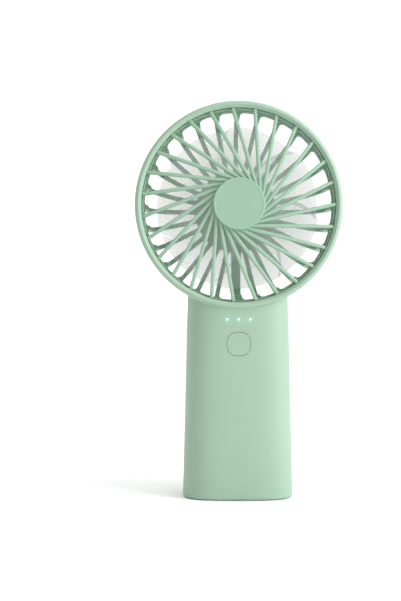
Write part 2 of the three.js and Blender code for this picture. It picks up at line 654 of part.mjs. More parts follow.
function rotorCan() {
  const frontY = ROTOR_FLOOR_Y + GAP;
  const backY = frontY + MAGNET_LENGTH + 1.4;
  const hole = SHAFT_RADIUS + RUNNING_GAP + 1.4 + GAP;
  const inside = ROTOR_CAN_RADIUS - ROTOR_CAN_WALL;
  const profile = [
    [hole, frontY],
    [ROTOR_CAN_RADIUS, frontY],
    [ROTOR_CAN_RADIUS, backY],
    [inside, backY],
    [inside, frontY + ROTOR_CAN_WALL],
    [hole, frontY + ROTOR_CAN_WALL],
  ];
  return turned(profile, 28);
}

function magnetRing() {
  const frontY = ROTOR_FLOOR_Y + GAP + ROTOR_CAN_WALL + GAP;
  return ring(MAGNET_RADIUS - MAGNET_THICKNESS, MAGNET_RADIUS, frontY, frontY + MAGNET_LENGTH, 28);
}

const tubeFrontY = ROTOR_FLOOR_Y + 2 + GAP;
const shaftEndY = MOTOR_FLANGE_Y + MOTOR_FLANGE_THICKNESS + 1.5;
const rearBearingY = MOTOR_FLANGE_Y - 0.8;

const motorShaft = () => ring(0, SHAFT_RADIUS, IMPELLER_HUB_FRONT_Y + 0.2, shaftEndY, 12);

function bearing(y) {
  return ring(SHAFT_RADIUS + RUNNING_GAP, BEARING_RADIUS, y, y + BEARING_LENGTH, 12);
}

const shaftClip = () =>
  ring(SHAFT_RADIUS + RUNNING_GAP / 2, SHAFT_RADIUS + 1, shaftEndY - 1, shaftEndY - 0.5, 12);

function motorBase() {
  const inside = MOTOR_TUBE_RADIUS - MOTOR_TUBE_WALL;
  const flangeBackY = MOTOR_FLANGE_Y + MOTOR_FLANGE_THICKNESS;
  const profile = [
    [inside, tubeFrontY],
    [MOTOR_TUBE_RADIUS, tubeFrontY],
    [MOTOR_TUBE_RADIUS, MOTOR_FLANGE_Y],
    [MOTOR_FLANGE_RADIUS, MOTOR_FLANGE_Y],
    [MOTOR_FLANGE_RADIUS, flangeBackY],
    [inside, flangeBackY],
  ];
  const holes = motorScrewAngles.map((angle) =>
    pin(...onCircle(MOTOR_SCREW_CIRCLE, angle), SCREW_RADIUS + GAP, MOTOR_FLANGE_Y - 1, flangeBackY + 1));
  return cut(turned(profile, 20), holes);
}

// The laminated core: a ring, one neck for each pole and an outer ring split into pole shoes.
const statorNeckRadius = MOTOR_TUBE_RADIUS + GAP + 1.4;
const poleShoeRadius = STATOR_RADIUS - 1.2;

function statorCore() {
  const backY = STATOR_FRONT_Y + STATOR_LENGTH;
  const inner = ring(MOTOR_TUBE_RADIUS + GAP, statorNeckRadius, STATOR_FRONT_Y, backY, 24);
  const outer = ring(poleShoeRadius, STATOR_RADIUS, STATOR_FRONT_Y, backY, 24);
  const half = STATOR_NECK_WIDTH / 2;
  const neck = block([statorNeckRadius - 0.5, STATOR_FRONT_Y, -half], [poleShoeRadius + 0.4, backY, half]);
  const slot = block([poleShoeRadius - 1, STATOR_FRONT_Y - 1, -0.6], [STATOR_RADIUS + 1, backY + 1, 0.6]);
  const pitch = 360 / STATOR_POLES;
  const places = Array.from({ length: STATOR_POLES }, (_, i) => pitch * i);
  const necks = places.map((angle) => clockwise(neck, angle));
  const slots = places.map((angle) => clockwise(slot, angle + pitch / 2));
  return cut(join([inner, outer, ...necks]), slots);
}

// A coil is a closed loop of wire round one neck.
function statorCoil(index) {
  const inside = STATOR_NECK_WIDTH / 2 + GAP;
  const outside = inside + COIL_WALL;
  const innerR = statorNeckRadius + GAP;
  const outerR = Math.sqrt((poleShoeRadius - GAP) ** 2 - outside ** 2);
  const lowY = STATOR_FRONT_Y - GAP;
  const highY = STATOR_FRONT_Y + STATOR_LENGTH + GAP;
  const loop = block([innerR, lowY - COIL_WALL, -outside], [outerR, highY + COIL_WALL, outside]);
  const hole = block([innerR - 1, lowY, -inside], [outerR + 1, highY, inside]);
  return clockwise(loop.subtract(hole), (360 / STATOR_POLES) * index);
}

function motorBoard() {
  const y = MOTOR_FLANGE_Y - GAP - 0.8;
  return ring(MOTOR_TUBE_RADIUS + GAP, STATOR_RADIUS, y, y + 0.8, 24);
}

// A round-headed screw along Y: the head sits behind its seat and the shank points to the front.
function screw(x, z, seatY, length) {
  const profile = [
    [0, seatY - length],
    [SCREW_RADIUS, seatY - length],
    [SCREW_RADIUS, seatY],
    [SCREW_HEAD_RADIUS, seatY],
    [SCREW_HEAD_RADIUS, seatY + SCREW_HEAD_HEIGHT * 0.6],
    [SCREW_HEAD_RADIUS * 0.7, seatY + SCREW_HEAD_HEIGHT],
    [0, seatY + SCREW_HEAD_HEIGHT],
  ];
  return turned(profile, 8).translate([x, 0, z]);
}

function motorScrew(index) {
  const [x, z] = onCircle(MOTOR_SCREW_CIRCLE, motorScrewAngles[index]);
  return screw(x, z, CUP_FLOOR_Y + LAMP_FLOOR_THICKNESS + GAP, LAMP_FLOOR_THICKNESS + 2 * GAP + 1);
}

// ---- Button and main board -----------------------------------------------------------------------
const flangeFrontY = FRONT_INSIDE_Y + GAP;
const flangeBackY = flangeFrontY + 1;
const switchBodyFrontY = BOARD_FRONT_Y - GAP - SWITCH_HEIGHT;
const plungerFrontY = switchBodyFrontY - 1.1;

function powerButton() {
  const cap = roundedPlate(
    BUTTON_WIDTH, BUTTON_HEIGHT, BUTTON_CORNER, FRONT_WALL_Y, flangeFrontY + 0.2, BUTTON_Z);
  const flange = roundedPlate(
    BUTTON_WIDTH + 2 * BUTTON_FLANGE, BUTTON_HEIGHT + 2 * BUTTON_FLANGE, BUTTON_CORNER + BUTTON_FLANGE,
    flangeFrontY, flangeBackY, BUTTON_Z);
  const stem = pin(0, BUTTON_Z, 1.6, flangeBackY - 0.2, plungerFrontY - GAP);
  return join([cap, flange, stem]);
}

function switchBody() {
  const half = SWITCH_SIZE / 2;
  const body = block(
    [-half, switchBodyFrontY, BUTTON_Z - half], [half, switchBodyFrontY + SWITCH_HEIGHT, BUTTON_Z + half]);
  const bore = pin(0, BUTTON_Z, PLUNGER_RADIUS + RUNNING_GAP, switchBodyFrontY - 1, switchBodyFrontY + 2, 20);
  return body.subtract(bore);
}

const switchPlunger = () => pin(0, BUTTON_Z, PLUNGER_RADIUS, plungerFrontY, plungerFrontY + 2.3, 20);

function mainBoard() {
  const half = MAIN_BOARD_WIDTH / 2;
  const board = block(
    [-half, BOARD_FRONT_Y, BUTTON_Z - 9], [half, BOARD_FRONT_Y + BOARD_THICKNESS, INDICATORS_Z + 4]);
  const holes = boardScrewPlaces.map(([x, z]) =>
    pin(x, z, SCREW_RADIUS + GAP, BOARD_FRONT_Y - 1, BOARD_FRONT_Y + BOARD_THICKNESS + 1));
  return cut(board, holes);
}

function boardScrew(index) {
  const [x, z] = boardScrewPlaces[index];
  return screw(x, z, BOARD_FRONT_Y + BOARD_THICKNESS + GAP, BOARD_THICKNESS + 2 * GAP + 3);
}

function lightGuide(index) {
  const x = indicatorXs[index];
  const shaft = pin(x, INDICATORS_Z, INDICATOR_RADIUS, FRONT_WALL_Y, BOARD_FRONT_Y - 2, 10);
  const collar = pin(x, INDICATORS_Z, INDICATOR_RADIUS + 0.6, flangeFrontY, flangeFrontY + 0.8, 10);
  return shaft.add(collar);
}

function indicatorLed(index) {
  const x = indicatorXs[index];
  return block([x - 0.8, BOARD_FRONT_Y - GAP - 0.8, INDICATORS_Z - 0.5], [x + 0.8, BOARD_FRONT_Y - GAP, INDICATORS_Z + 0.5]);
}

// ---- Charging board and socket -------------------------------------------------------------------
const usbFrontY = REAR_WALL_Y - GAP;

function chargeBoard() {
  return block(
    [-railX - 1, BOARD_FRONT_Y + 8, chargeBoardTopZ - BOARD_THICKNESS],
    [railX + 1, REAR_INSIDE_Y - 1, chargeBoardTopZ]);
}

function usbShell() {
  const outer = roundedPlate(
    USB_WIDTH, USB_HEIGHT, USB_HEIGHT / 2 - 0.01, usbFrontY - USB_LENGTH, usbFrontY, USB_Z);
  const [width, height] = [USB_WIDTH - 2 * USB_SHEET, USB_HEIGHT - 2 * USB_SHEET];
  const inner = roundedPlate(
    width, height, height / 2 - 0.01, usbFrontY - USB_LENGTH + 1.2, usbFrontY + 1, USB_Z);
  return outer.subtract(inner);
}

function usbTongue() {
  const width = USB_WIDTH - 2.2;
  return block(
    [-width / 2, usbFrontY - USB_LENGTH + 1.2 + GAP, USB_Z - 0.35], [width / 2, usbFrontY - 0.9, USB_Z + 0.35]);
}

// ---- Battery -------------------------------------------------------------------------------------
const cellX = CELL_RADIUS + GAP;
const cellTopZ = CELL_FLOOR_Z + CELL_LENGTH;

const batteryCell = (side) => post(side * cellX, CELL_Y, CELL_RADIUS, CELL_FLOOR_Z, cellTopZ, ROUND);

function cellLink(lowZ) {
  return block([-cellX - 4, CELL_Y - 2.5, lowZ], [cellX + 4, CELL_Y + 2.5, lowZ + LINK_THICKNESS]);
}

// A cradle behind the cells.
function batteryTray() {
  const backY = CELL_Y + CELL_RADIUS + GAP + TRAY_WALL;
  const body = block([-2 * cellX + 1.4, CELL_Y + 3, CELL_FLOOR_Z], [2 * cellX - 1.4, backY, cellTopZ]);
  const nests = [-1, 1].map((side) =>
    post(side * cellX, CELL_Y, CELL_RADIUS + GAP, CELL_FLOOR_Z - 1, cellTopZ + 1, ROUND));
  const cavity = handleBlank(SHELL_WALL + 2 * GAP, CELL_FLOOR_Z - 1, cellTopZ + 1);
  return cut(body, nests).intersect(cavity);
}

function batteryFoam() {
  const backY = CELL_Y - CELL_RADIUS - GAP;
  return block([-14, FRONT_INSIDE_Y + 1.6, CELL_FLOOR_Z + 8], [14, backY, cellTopZ - 10]);
}

function batteryLead() {
  const boardBackY = BOARD_FRONT_Y + BOARD_THICKNESS + GAP;
  const startZ = cellTopZ + 2 * GAP + LINK_THICKNESS;
  const points = [
    [5, CELL_Y, startZ],
    [5, CELL_Y - 1, startZ + 4],
    [5, boardBackY + 4, BUTTON_Z + 1],
    [5, boardBackY, BUTTON_Z + 3],
  ];
  return lead(points, LEAD_RADIUS * 0.8, 10);
}

// ---- The whole fan -------------------------------------------------------------------------------
const finish = (color, roughness, metalness = 0) => new THREE.MeshStandardMaterial({ color, roughness, metalness });
const MINT = finish(0xa6c9b1, 0.5);
const FROSTED = finish(0xf1f3f2, 0.4);
const LENS = finish(0xffffff, 0.25);
const WHITE = finish(0xf4f4f2, 0.35);
const STEEL = finish(0xb9bcc0, 0.3, 1);
const MAGNET = finish(0x3a3a3d, 0.6);
const COPPER = finish(0xb56a34, 0.35, 1);
const BOARD = finish(0x1f6b43, 0.5);
const BLACK = finish(0x151515, 0.45);
const CLEAR = finish(0xe6f7f5, 0.15);
const CELL = finish(0x2f7fb8, 0.4);
const FOAM = finish(0x4a4a4a, 0.9);
const LEAD = finish(0xb22a2a, 0.5);

const fan = new THREE.Group();
const head = new THREE.Group();
head.position.set(0, 0, HEAD_Z);
fan.add(head);

function place(group, name, body, material) {
  const mesh = new THREE.Mesh(geometryOf(body), material);
  mesh.name = name;
  group.add(mesh);
}

place(fan, 'front_shell', frontShell(), MINT);
place(fan, 'rear_shell', rearShell(), MINT);
place(fan, 'bottom_cap', bottomCap(), MINT);
place(head, 'front_grille', frontGrille(), MINT);
place(head, 'hub_cap', hubCap(), MINT);
place(head, 'rear_cage', rearCage(), MINT);
place(head, 'spine_cover', spineCover(), MINT);
place(head, 'lamp_cup', lampCup(), MINT);
place(head, 'lamp_lens', lampLens(), LENS);
place(head, 'lamp_reflector', lampReflector(), WHITE);
place(head, 'lamp_board', lampBoard(), WHITE);
for (let i = 0; i < LAMP_LED_COUNT; i += 1) {
  place(head, `lamp_led_${i + 1}`, lampLed(i), CLEAR);
}
place(head, 'impeller', impeller(), FROSTED);
place(head, 'rotor_can', rotorCan(), STEEL);
place(head, 'magnet_ring', magnetRing(), MAGNET);
place(head, 'motor_shaft', motorShaft(), STEEL);
place(head, 'front_bearing', bearing(tubeFrontY + GAP), STEEL);
place(head, 'rear_bearing', bearing(rearBearingY), STEEL);
place(head, 'shaft_clip', shaftClip(), STEEL);
place(head, 'motor_base', motorBase(), WHITE);
place(head, 'motor_board', motorBoard(), BOARD);
place(head, 'stator_core', statorCore(), STEEL);
for (let i = 0; i < STATOR_POLES; i += 1) {
  place(head, `stator_coil_${i + 1}`, statorCoil(i), COPPER);
}
motorScrewAngles.forEach((_, i) => place(head, `motor_screw_${i + 1}`, motorScrew(i), STEEL));
place(fan, 'power_button', powerButton(), MINT);
place(fan, 'switch_body', switchBody(), BLACK);
place(fan, 'switch_plunger', switchPlunger(), WHITE);
place(fan, 'main_board', mainBoard(), BOARD);
boardScrewPlaces.forEach((_, i) => place(fan, `board_screw_${i + 1}`, boardScrew(i), STEEL));
indicatorXs.forEach((_, i) => place(fan, `light_guide_${i + 1}`, lightGuide(i), CLEAR));
indicatorXs.forEach((_, i) => place(fan, `indicator_led_${i + 1}`, indicatorLed(i), WHITE));
place(fan, 'charge_board', chargeBoard(), BOARD);
place(fan, 'usb_shell', usbShell(), STEEL);
place(fan, 'usb_tongue', usbTongue(), BLACK);
place(fan, 'battery_cell_left', batteryCell(-1), CELL);
place(fan, 'battery_cell_right', batteryCell(1), CELL);
place(fan, 'cell_link_top', cellLink(cellTopZ + GAP), STEEL);
place(fan, 'cell_link_bottom', cellLink(CELL_FLOOR_Z - GAP - LINK_THICKNESS), STEEL);
place(fan, 'battery_tray', batteryTray(), WHITE);
place(fan, 'battery_foam', batteryFoam(), FOAM);
place(fan, 'head_leads', headLead(LEAD_RADIUS), LEAD);
place(fan, 'battery_lead', batteryLead(), LEAD);

export default fan;
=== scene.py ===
import json
from math import asin, atan2, copysign, cos, pi, radians, sin, sqrt

import bmesh
import bpy
from mathutils import Matrix, Vector


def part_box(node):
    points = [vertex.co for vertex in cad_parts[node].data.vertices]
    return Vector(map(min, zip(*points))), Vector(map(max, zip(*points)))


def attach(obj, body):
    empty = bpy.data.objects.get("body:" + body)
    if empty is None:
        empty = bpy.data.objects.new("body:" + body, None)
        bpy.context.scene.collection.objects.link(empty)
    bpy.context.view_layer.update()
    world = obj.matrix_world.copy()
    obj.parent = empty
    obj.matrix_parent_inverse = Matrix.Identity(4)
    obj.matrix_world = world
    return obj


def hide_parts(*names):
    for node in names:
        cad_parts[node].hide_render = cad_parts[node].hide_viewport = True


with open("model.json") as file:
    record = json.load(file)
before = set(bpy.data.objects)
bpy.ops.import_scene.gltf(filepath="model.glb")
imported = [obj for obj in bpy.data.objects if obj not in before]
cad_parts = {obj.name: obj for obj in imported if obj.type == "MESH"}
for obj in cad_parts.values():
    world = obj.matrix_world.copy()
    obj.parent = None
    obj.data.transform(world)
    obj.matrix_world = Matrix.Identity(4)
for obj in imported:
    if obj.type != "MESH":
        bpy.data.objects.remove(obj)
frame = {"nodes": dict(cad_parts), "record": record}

bpy.context.view_layer.update()

# A handheld fan: a ring with a swirled front grille, a caged back with a lamp in its middle, and a
# thick oval handle. The fan blows towards -Y. Sizes are in metres, and MM turns millimetres into them.
MM = 0.001

# ---- Places read from the frame --------------------------------------------------------------------
shell_low, shell_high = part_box("front_shell")
rear_low, rear_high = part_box("rear_shell")
grille_low, grille_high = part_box("front_grille")
hub_cap_low, hub_cap_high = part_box("hub_cap")
cage_low, cage_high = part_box("rear_cage")
cup_low, cup_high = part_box("lamp_cup")
lens_low, lens_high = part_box("lamp_lens")
impeller_low, impeller_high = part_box("impeller")
button_low, button_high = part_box("power_button")
foot_low, foot_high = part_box("bottom_cap")
usb_low, usb_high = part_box("usb_shell")
plunger_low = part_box("switch_plunger")[0]

RING_RADIUS = shell_high.x
HEAD_Z = shell_high.z - RING_RADIUS
RING_FRONT_Y = shell_low.y
FOOT_Z = shell_low.z
SEAM_GAP = rear_low.y - shell_high.y
BUTTON_Z = (button_low.z + button_high.z) / 2
USB_Z = (usb_low.z + usb_high.z) / 2
GRILLE_RADIUS = grille_high.x
GRILLE_BACK_Y = grille_high.y
CAGE_RADIUS = cage_high.x
CAGE_BACK_Y = cage_high.y
IMPELLER_RADIUS = impeller_high.x
indicator_centres = [sum(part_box(f"light_guide_{i}"), Vector()) / 2 for i in (1, 2, 3)]

# ---- Handle ----------------------------------------------------------------------------------------
HALF_WIDTH = 28.75 * MM  # at the foot
HALF_DEPTH = rear_high.y
TAPER = 0.025  # half width lost for each unit of height
SQUARENESS = 3.3  # exponent of the superellipse section
WALL = 2 * MM
FOOT_FILLET = 1 * MM
SADDLE_RADIUS = 50.6 * MM
COVE_RADIUS = 0.9 * MM  # where the handle meets the ring
COVE_LEAN = radians(16)  # the cove stops short on the ring's rounded front edge
COVE_FADE = 1 * MM  # how far before the ring's back edge the cove starts to fade out
SADDLE_LEDGE = 0.5 * MM  # how far the saddle's edge is drawn in and let down
SADDLE_EASE = 0.15 * MM
HANDLE_SIDES = 160
FILLET_ROWS = 5
WALL_ROWS = 10
COVE_ROWS = 6

# ---- Ring, grille and cage -------------------------------------------------------------------------
RING_WALL = 3.38 * MM
RING_DEPTH = 10 * MM
RING_EDGE = 1.9 * MM
RING_BEVEL = 1.3 * MM  # the slope from the ridge down to the bore
RING_BEVEL_DROP = 1.35 * MM
RING_SIDES = 180
GRILLE_WALL = 0.75 * MM
GRILLE_SET_BACK = 1 * MM  # behind the ring's front
GRILLE_BAND_SET_BACK = 2.4 * MM  # the band, further behind that
RIB_COUNT = 27
RIB_WIDTH = 1.8 * MM
RIB_DEPTH = 2.6 * MM
RIB_EDGE = 0.55 * MM
RIB_OFFSET = 11 * MM  # each rib's line passes this far beside the axis
RIB_BOW = 4 * MM
RIB_START = -3.2  # degrees clockwise from the top, seen from the front
GRILLE_HUB_RADIUS = 12.7 * MM
GRILLE_HUB_DEPTH = 3 * MM
FIN_PLACES = 28  # one of them holds the spine
FIN_WIDTH = 2.4 * MM
FIN_DEPTH = 3.4 * MM
FIN_EDGE = 0.4 * MM
FIN_CUTS = 46
FIN_OVERLAP = 0.6 * MM  # how far a fin runs into the collar
FIN_ARCH = 2.6 * MM  # the windows' rounded outer corners
FIN_GROWTH = 6 * MM  # how far a fin takes to reach its full depth
SHOULDER_RADIUS = 20 * MM
BAND_WALL = 1.7 * MM
BAND_DEPTH = 2.5 * MM
SPINE_WIDTH = 5 * MM
SPINE_DEPTH = 4.4 * MM
SPINE_WALL = 1.2 * MM
CHANNEL_START_Y = 1 * MM
CHANNEL_END = 12 * MM  # how far before the collar the channel stops
LEAD_CLEARANCE = 0.5 * MM
COLLAR_WALL = 1.6 * MM
COLLAR_DEPTH = 5 * MM
CUP_WALL = 1.2 * MM
CUP_FLOOR = 2 * MM
CUP_LEDGE = 2 * MM  # the lamp board's seat
HUB_CAP_PEG = 3 * MM
GAP = 0.3 * MM  # between two pieces that meet

RING_BACK_Y = RING_FRONT_Y + RING_DEPTH
RING_BORE = RING_RADIUS - RING_WALL
GRILLE_FRONT_Y = RING_FRONT_Y + GRILLE_SET_BACK
BAND_Y = RING_BACK_Y + GAP
CUP_RADIUS = lens_high.x + GAP + CUP_WALL
COLLAR_RADIUS = CUP_RADIUS + GAP + COLLAR_WALL
SHOULDER_Y = CAGE_BACK_Y - SHOULDER_RADIUS
SHOULDER_CENTRE = CAGE_RADIUS - SHOULDER_RADIUS
HEAD_CENTRE = Vector((0, 0, HEAD_Z))
FIN_START_Y = BAND_Y + 0.5 * MM
FIN_STRAIGHT = SHOULDER_Y - FIN_START_Y
FIN_BEND = SHOULDER_RADIUS * pi / 2
FIN_LENGTH = FIN_STRAIGHT + FIN_BEND + SHOULDER_CENTRE - COLLAR_RADIUS + FIN_OVERLAP

# ---- Button, lights and eyelets --------------------------------------------------------------------
BUTTON_WIDTH = 12.0 * MM
BUTTON_HEIGHT = 11.8 * MM
BUTTON_CORNER = 4.8 * MM
BUTTON_GAP = 0.16 * MM
BUTTON_STEM_RADIUS = 1.6 * MM
BUTTON_FLANGE = 1 * MM
LIGHT_RADIUS = 0.56 * MM
LIGHT_GAP = 0.1 * MM
LIGHT_FLANGE = 0.8 * MM
EYELET_X = 3.2 * MM
EYELET_Z = 6.7 * MM
EYELET_RADIUS = 1.25 * MM
TAB_X = 2 * MM
TAB_WIDTH = 7.4 * MM

# ---- Impeller --------------------------------------------------------------------------------------
BLADE_COUNT = 7
BLADE_COVER = 1.01  # share of the circle that the blades fill at their tips
BLADE_PITCH_HEIGHT = 11 * MM
BLADE_THICKNESS = 1.2 * MM
BLADE_SWEEP = radians(20)
BLADE_MIDDLE_Y = 3.6 * MM
ROTOR_HUB_RADIUS = 12.9 * MM
ROTOR_HUB_WALL = 1.1 * MM
ROTOR_HUB_DEPTH = 13.4 * MM
SHAFT_BORE = 1.1 * MM
BOSS_WALL = 1.4 * MM
BOSS_DEPTH = 2 * MM


# ---- Bending and cutting ---------------------------------------------------------------------------
def arc(centre, radius, start, end, steps):
    """Points of an arc between two angles in degrees, in the plane of a profile."""
    turns = [radians(start + (end - start) * i / steps) for i in range(steps + 1)]
    return [(centre[0] + radius * cos(t), centre[1] + radius * sin(t)) for t in turns]


def cleaned(bm, distance=1e-7):
    """Closes seams and poles and turns the faces outwards."""
    bmesh.ops.remove_doubles(bm, verts=bm.verts, dist=distance)
    bmesh.ops.dissolve_degenerate(bm, edges=bm.edges, dist=distance)
    bmesh.ops.recalc_face_normals(bm, faces=bm.faces)
    return bm


def turned(profile, sides=RING_SIDES, closed=True):
    """A body of revolution about the head's axis, from a profile of (radius, y) points."""
    bm = bmesh.new()
    points = [bm.verts.new((radius, y, 0)) for radius, y in profile]
    for start, end in zip(points, points[1:]):
        bm.edges.new((start, end))
    if closed:
        bm.edges.new((points[-1], points[0]))
    bmesh.ops.spin(
        bm, geom=bm.verts[:] + bm.edges[:], cent=(0, 0, 0), axis=(0, 1, 0), dvec=(0, 0, 0),
        angle=2 * pi, steps=sides, use_merge=True, use_duplicate=False)
    bmesh.ops.translate(bm, verts=bm.verts, vec=HEAD_CENTRE)
    return cleaned(bm, 1e-6)


def bar(length, width, depth, edge, cuts):
    """A straight bar: X runs along it, Z across it and Y from 0 at its outer face to -depth."""
    bm = bmesh.new()
    bmesh.ops.create_cube(bm, size=1)
    bmesh.ops.translate(bm, verts=bm.verts, vec=(0.5, -0.5, 0))
    bmesh.ops.scale(bm, verts=bm.verts, vec=(length, depth, width))
    bmesh.ops.bevel(
        bm, geom=along(bm, length), offset=edge, offset_type="OFFSET", segments=3, profile=0.5,
        affect="EDGES", material=-1)
    bmesh.ops.subdivide_edges(bm, edges=along(bm, length), cuts=cuts)
    return bm


def along(bm, length):
    """The edges that run the whole length of a bar."""
    return [e for e in bm.edges if abs(e.verts[0].co.x - e.verts[1].co.x) > length / 2]


def reshape(bm, place):
    """Moves every vertex to where a function of its old place says."""
    for vertex in bm.verts:
        vertex.co = place(vertex.co.copy())
    return bm


def round_the_head(bm, clockwise, copies=1, places=1):
    """Turns a body made along +X to its place on the head and repeats it round the axis."""
    turn = Matrix.Rotation(radians(clockwise - 90), 4, "Y")
    bmesh.ops.transform(bm, matrix=turn, verts=bm.verts)
    if copies > 1:
        bmesh.ops.spin(
            bm, geom=bm.verts[:] + bm.edges[:] + bm.faces[:], cent=(0, 0, 0), axis=(0, 1, 0),
            dvec=(0, 0, 0), angle=2 * pi * (copies - 1) / places, steps=copies - 1,
            use_merge=False, use_duplicate=True)
    bmesh.ops.translate(bm, verts=bm.verts, vec=HEAD_CENTRE)
    return bm


def loft(rows, sides):
    """A closed skin through rows of points. Each row is a function of the angle round the piece."""
    bm = bmesh.new()
    bmesh.ops.create_circle(bm, segments=sides, radius=1)
    edges = bm.edges[:]
    for _ in rows[1:]:
        grown = bmesh.ops.extrude_edge_only(bm, edges=edges)["geom"]
        points = [g for g in grown if isinstance(g, bmesh.types.BMVert)]
        edges = [g for g in grown if isinstance(g, bmesh.types.BMEdge) and g.is_boundary]
        bmesh.ops.translate(bm, verts=points, vec=(0, 0, 1))
    reshape(bm, lambda co: rows[round(co.z)](atan2(co.y, co.x)))
    return cleaned(bm, 1e-6)


def stack(bm, steps, width, height):
    """Raises the one face of a mesh along Y through steps of (y, how far the outline is drawn in)."""
    face = bm.faces[:][0]
    last_y = drawn_in = 0
    for index, (y, inset) in enumerate(steps):
        if index:
            grown = bmesh.ops.extrude_face_region(bm, geom=[face])["geom"]
            if index > 1:
                bmesh.ops.delete(bm, geom=[face], context="FACES_ONLY")
            face = next(g for g in grown if isinstance(g, bmesh.types.BMFace))
        across = (width - 2 * inset) / (width - 2 * drawn_in)
        upwards = (height - 2 * inset) / (height - 2 * drawn_in)
        bmesh.ops.scale(bm, verts=face.verts[:], vec=(across, 1, upwards))
        bmesh.ops.translate(bm, verts=face.verts[:], vec=(0, y - last_y, 0))
        last_y, drawn_in = y, inset
    return bm


def facing_y(bm):
    """Stands a flat outline up, so that it faces along Y."""
    bmesh.ops.rotate(bm, verts=bm.verts, cent=(0, 0, 0), matrix=Matrix.Rotation(pi / 2, 3, "X"))
    return bm


def pin(x, z, radius, steps, sides=48):
    """A round body along Y through (x, z)."""
    bm = bmesh.new()
    bmesh.ops.create_circle(bm, cap_ends=True, segments=sides, radius=radius)
    stack(facing_y(bm), steps, 2 * radius, 2 * radius)
    bmesh.ops.translate(bm, verts=bm.verts, vec=(x, 0, z))
    return cleaned(bm)


def plate(width, height, corner, steps, z):
    """A body along Y whose outline is a rectangle with round corners."""
    bm = bmesh.new()
    bmesh.ops.create_grid(bm, x_segments=1, y_segments=1, size=0.5)
    bmesh.ops.scale(bm, verts=bm.verts, vec=(width, height, 1))
    bmesh.ops.bevel(
        bm, geom=bm.verts[:], offset=corner, offset_type="OFFSET", segments=12, profile=0.5,
        affect="VERTICES", material=-1)
    stack(facing_y(bm), steps, width, height)
    bmesh.ops.translate(bm, verts=bm.verts, vec=(0, 0, z))
    return cleaned(bm)


def block(low, high, edge=0):
    """A box between two corners, with its edges rounded if a radius is given."""
    bm = bmesh.new()
    low, high = Vector(low), Vector(high)
    bmesh.ops.create_cube(bm, size=1)
    bmesh.ops.scale(bm, verts=bm.verts, vec=high - low)
    bmesh.ops.translate(bm, verts=bm.verts, vec=(low + high) / 2)
    if edge:
        bmesh.ops.bevel(
            bm, geom=bm.edges[:], offset=edge, offset_type="OFFSET", segments=2, profile=0.5,
            affect="EDGES", material=-1)
    return bm


def solid(bm, name="tool"):
    """Makes an object of a bmesh."""
    mesh = bpy.data.meshes.new(name)
    bm.to_mesh(mesh)
    bm.free()
    made = bpy.data.objects.new(name, mesh)
    bpy.context.scene.collection.objects.link(made)
    return made


def combined(base, tools, operation):
    """Joins tools to a body, or cuts them from it, as closed solids."""
    body = solid(base)
    tool_objects = [solid(tool) for tool in tools]
    for tool in tool_objects:
        step = body.modifiers.new("step", "BOOLEAN")
        step.object, step.operation, step.solver = tool, operation, "EXACT"
        step.use_self = operation == "UNION"
    evaluated = body.evaluated_get(bpy.context.evaluated_depsgraph_get())
    bm = bmesh.new()
    bm.from_mesh(evaluated.to_mesh())
    for used in [body, *tool_objects]:
        bpy.data.objects.remove(used)
    bmesh.ops.remove_doubles(bm, verts=bm.verts, dist=1e-6)
    bmesh.ops.dissolve_degenerate(bm, edges=bm.edges, dist=1e-6)
    return bm


def joined(base, *tools):
    """The base and the tools as one closed body."""
    return combined(base, tools, "UNION")


def cut(base, *tools):
    """The base without the room that the tools take up."""
    return combined(base, tools, "DIFFERENCE")


def piece(bm, name, body, slot, material, *nodes, crease=32):
    """Finishes a mesh as a named piece that rides on a body, and hides the CAD nodes that it stands in
    for.
    """
    made = solid(bm, name)
    made.data.shade_smooth()
    made.data.set_sharp_from_angle(angle=radians(crease))
    made.data.materials.append(material)
    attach(made, body)
    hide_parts(*nodes)
    return made


# ---- Handle ----------------------------------------------------------------------------------------
def outline(angle, inset, z):
    """A point of the handle's superellipse section, and the direction it faces."""
    half_width = HALF_WIDTH - TAPER * z - inset
    half_depth = HALF_DEPTH - inset
    c, s = cos(angle), sin(angle)
    x = half_width * copysign(abs(c) ** (2 / SQUARENESS), c)
    y = half_depth * copysign(abs(s) ** (2 / SQUARENESS), s)
    slope_x = copysign(abs(x / half_width) ** (SQUARENESS - 1), c) / half_width
    slope_y = copysign(abs(y / half_depth) ** (SQUARENESS - 1), s) / half_depth
    return x, y, Vector((slope_x, slope_y)).normalized()


def under_drum(x, radius):
    """The height of the lower side of a drum round the head's axis."""
    return HEAD_Z - sqrt(radius ** 2 - x ** 2)


def under_ring(x, y):
    """The height of the ring's underside, which rounds off towards its front."""
    into_edge = max(0, RING_FRONT_Y + RING_EDGE - y)
    return under_drum(x, RING_RADIUS - RING_EDGE + sqrt(RING_EDGE ** 2 - into_edge ** 2))


def outline_at_drum(angle, inset, radius):
    """The outline where it meets a drum round the head's axis, whose height depends on x."""
    x = outline(angle, inset, HEAD_Z - radius)[0]
    return outline(angle, inset, under_drum(x, radius))


def wall_row(inset, z):
    """A level row of the wall, drawn in by an inset."""
    def place(angle):
        x, y, _ = outline(angle, inset, z)
        return Vector((x, y, z))
    return place


def saddle_row(inset, radius, share, lower=0):
    """A row across the saddle, from the wall at share 1 to the middle at share 0."""
    def place(angle):
        x, y, _ = outline_at_drum(angle, inset, radius)
        return Vector((x * share, y * share, under_drum(x * share, radius) - lower))
    return place


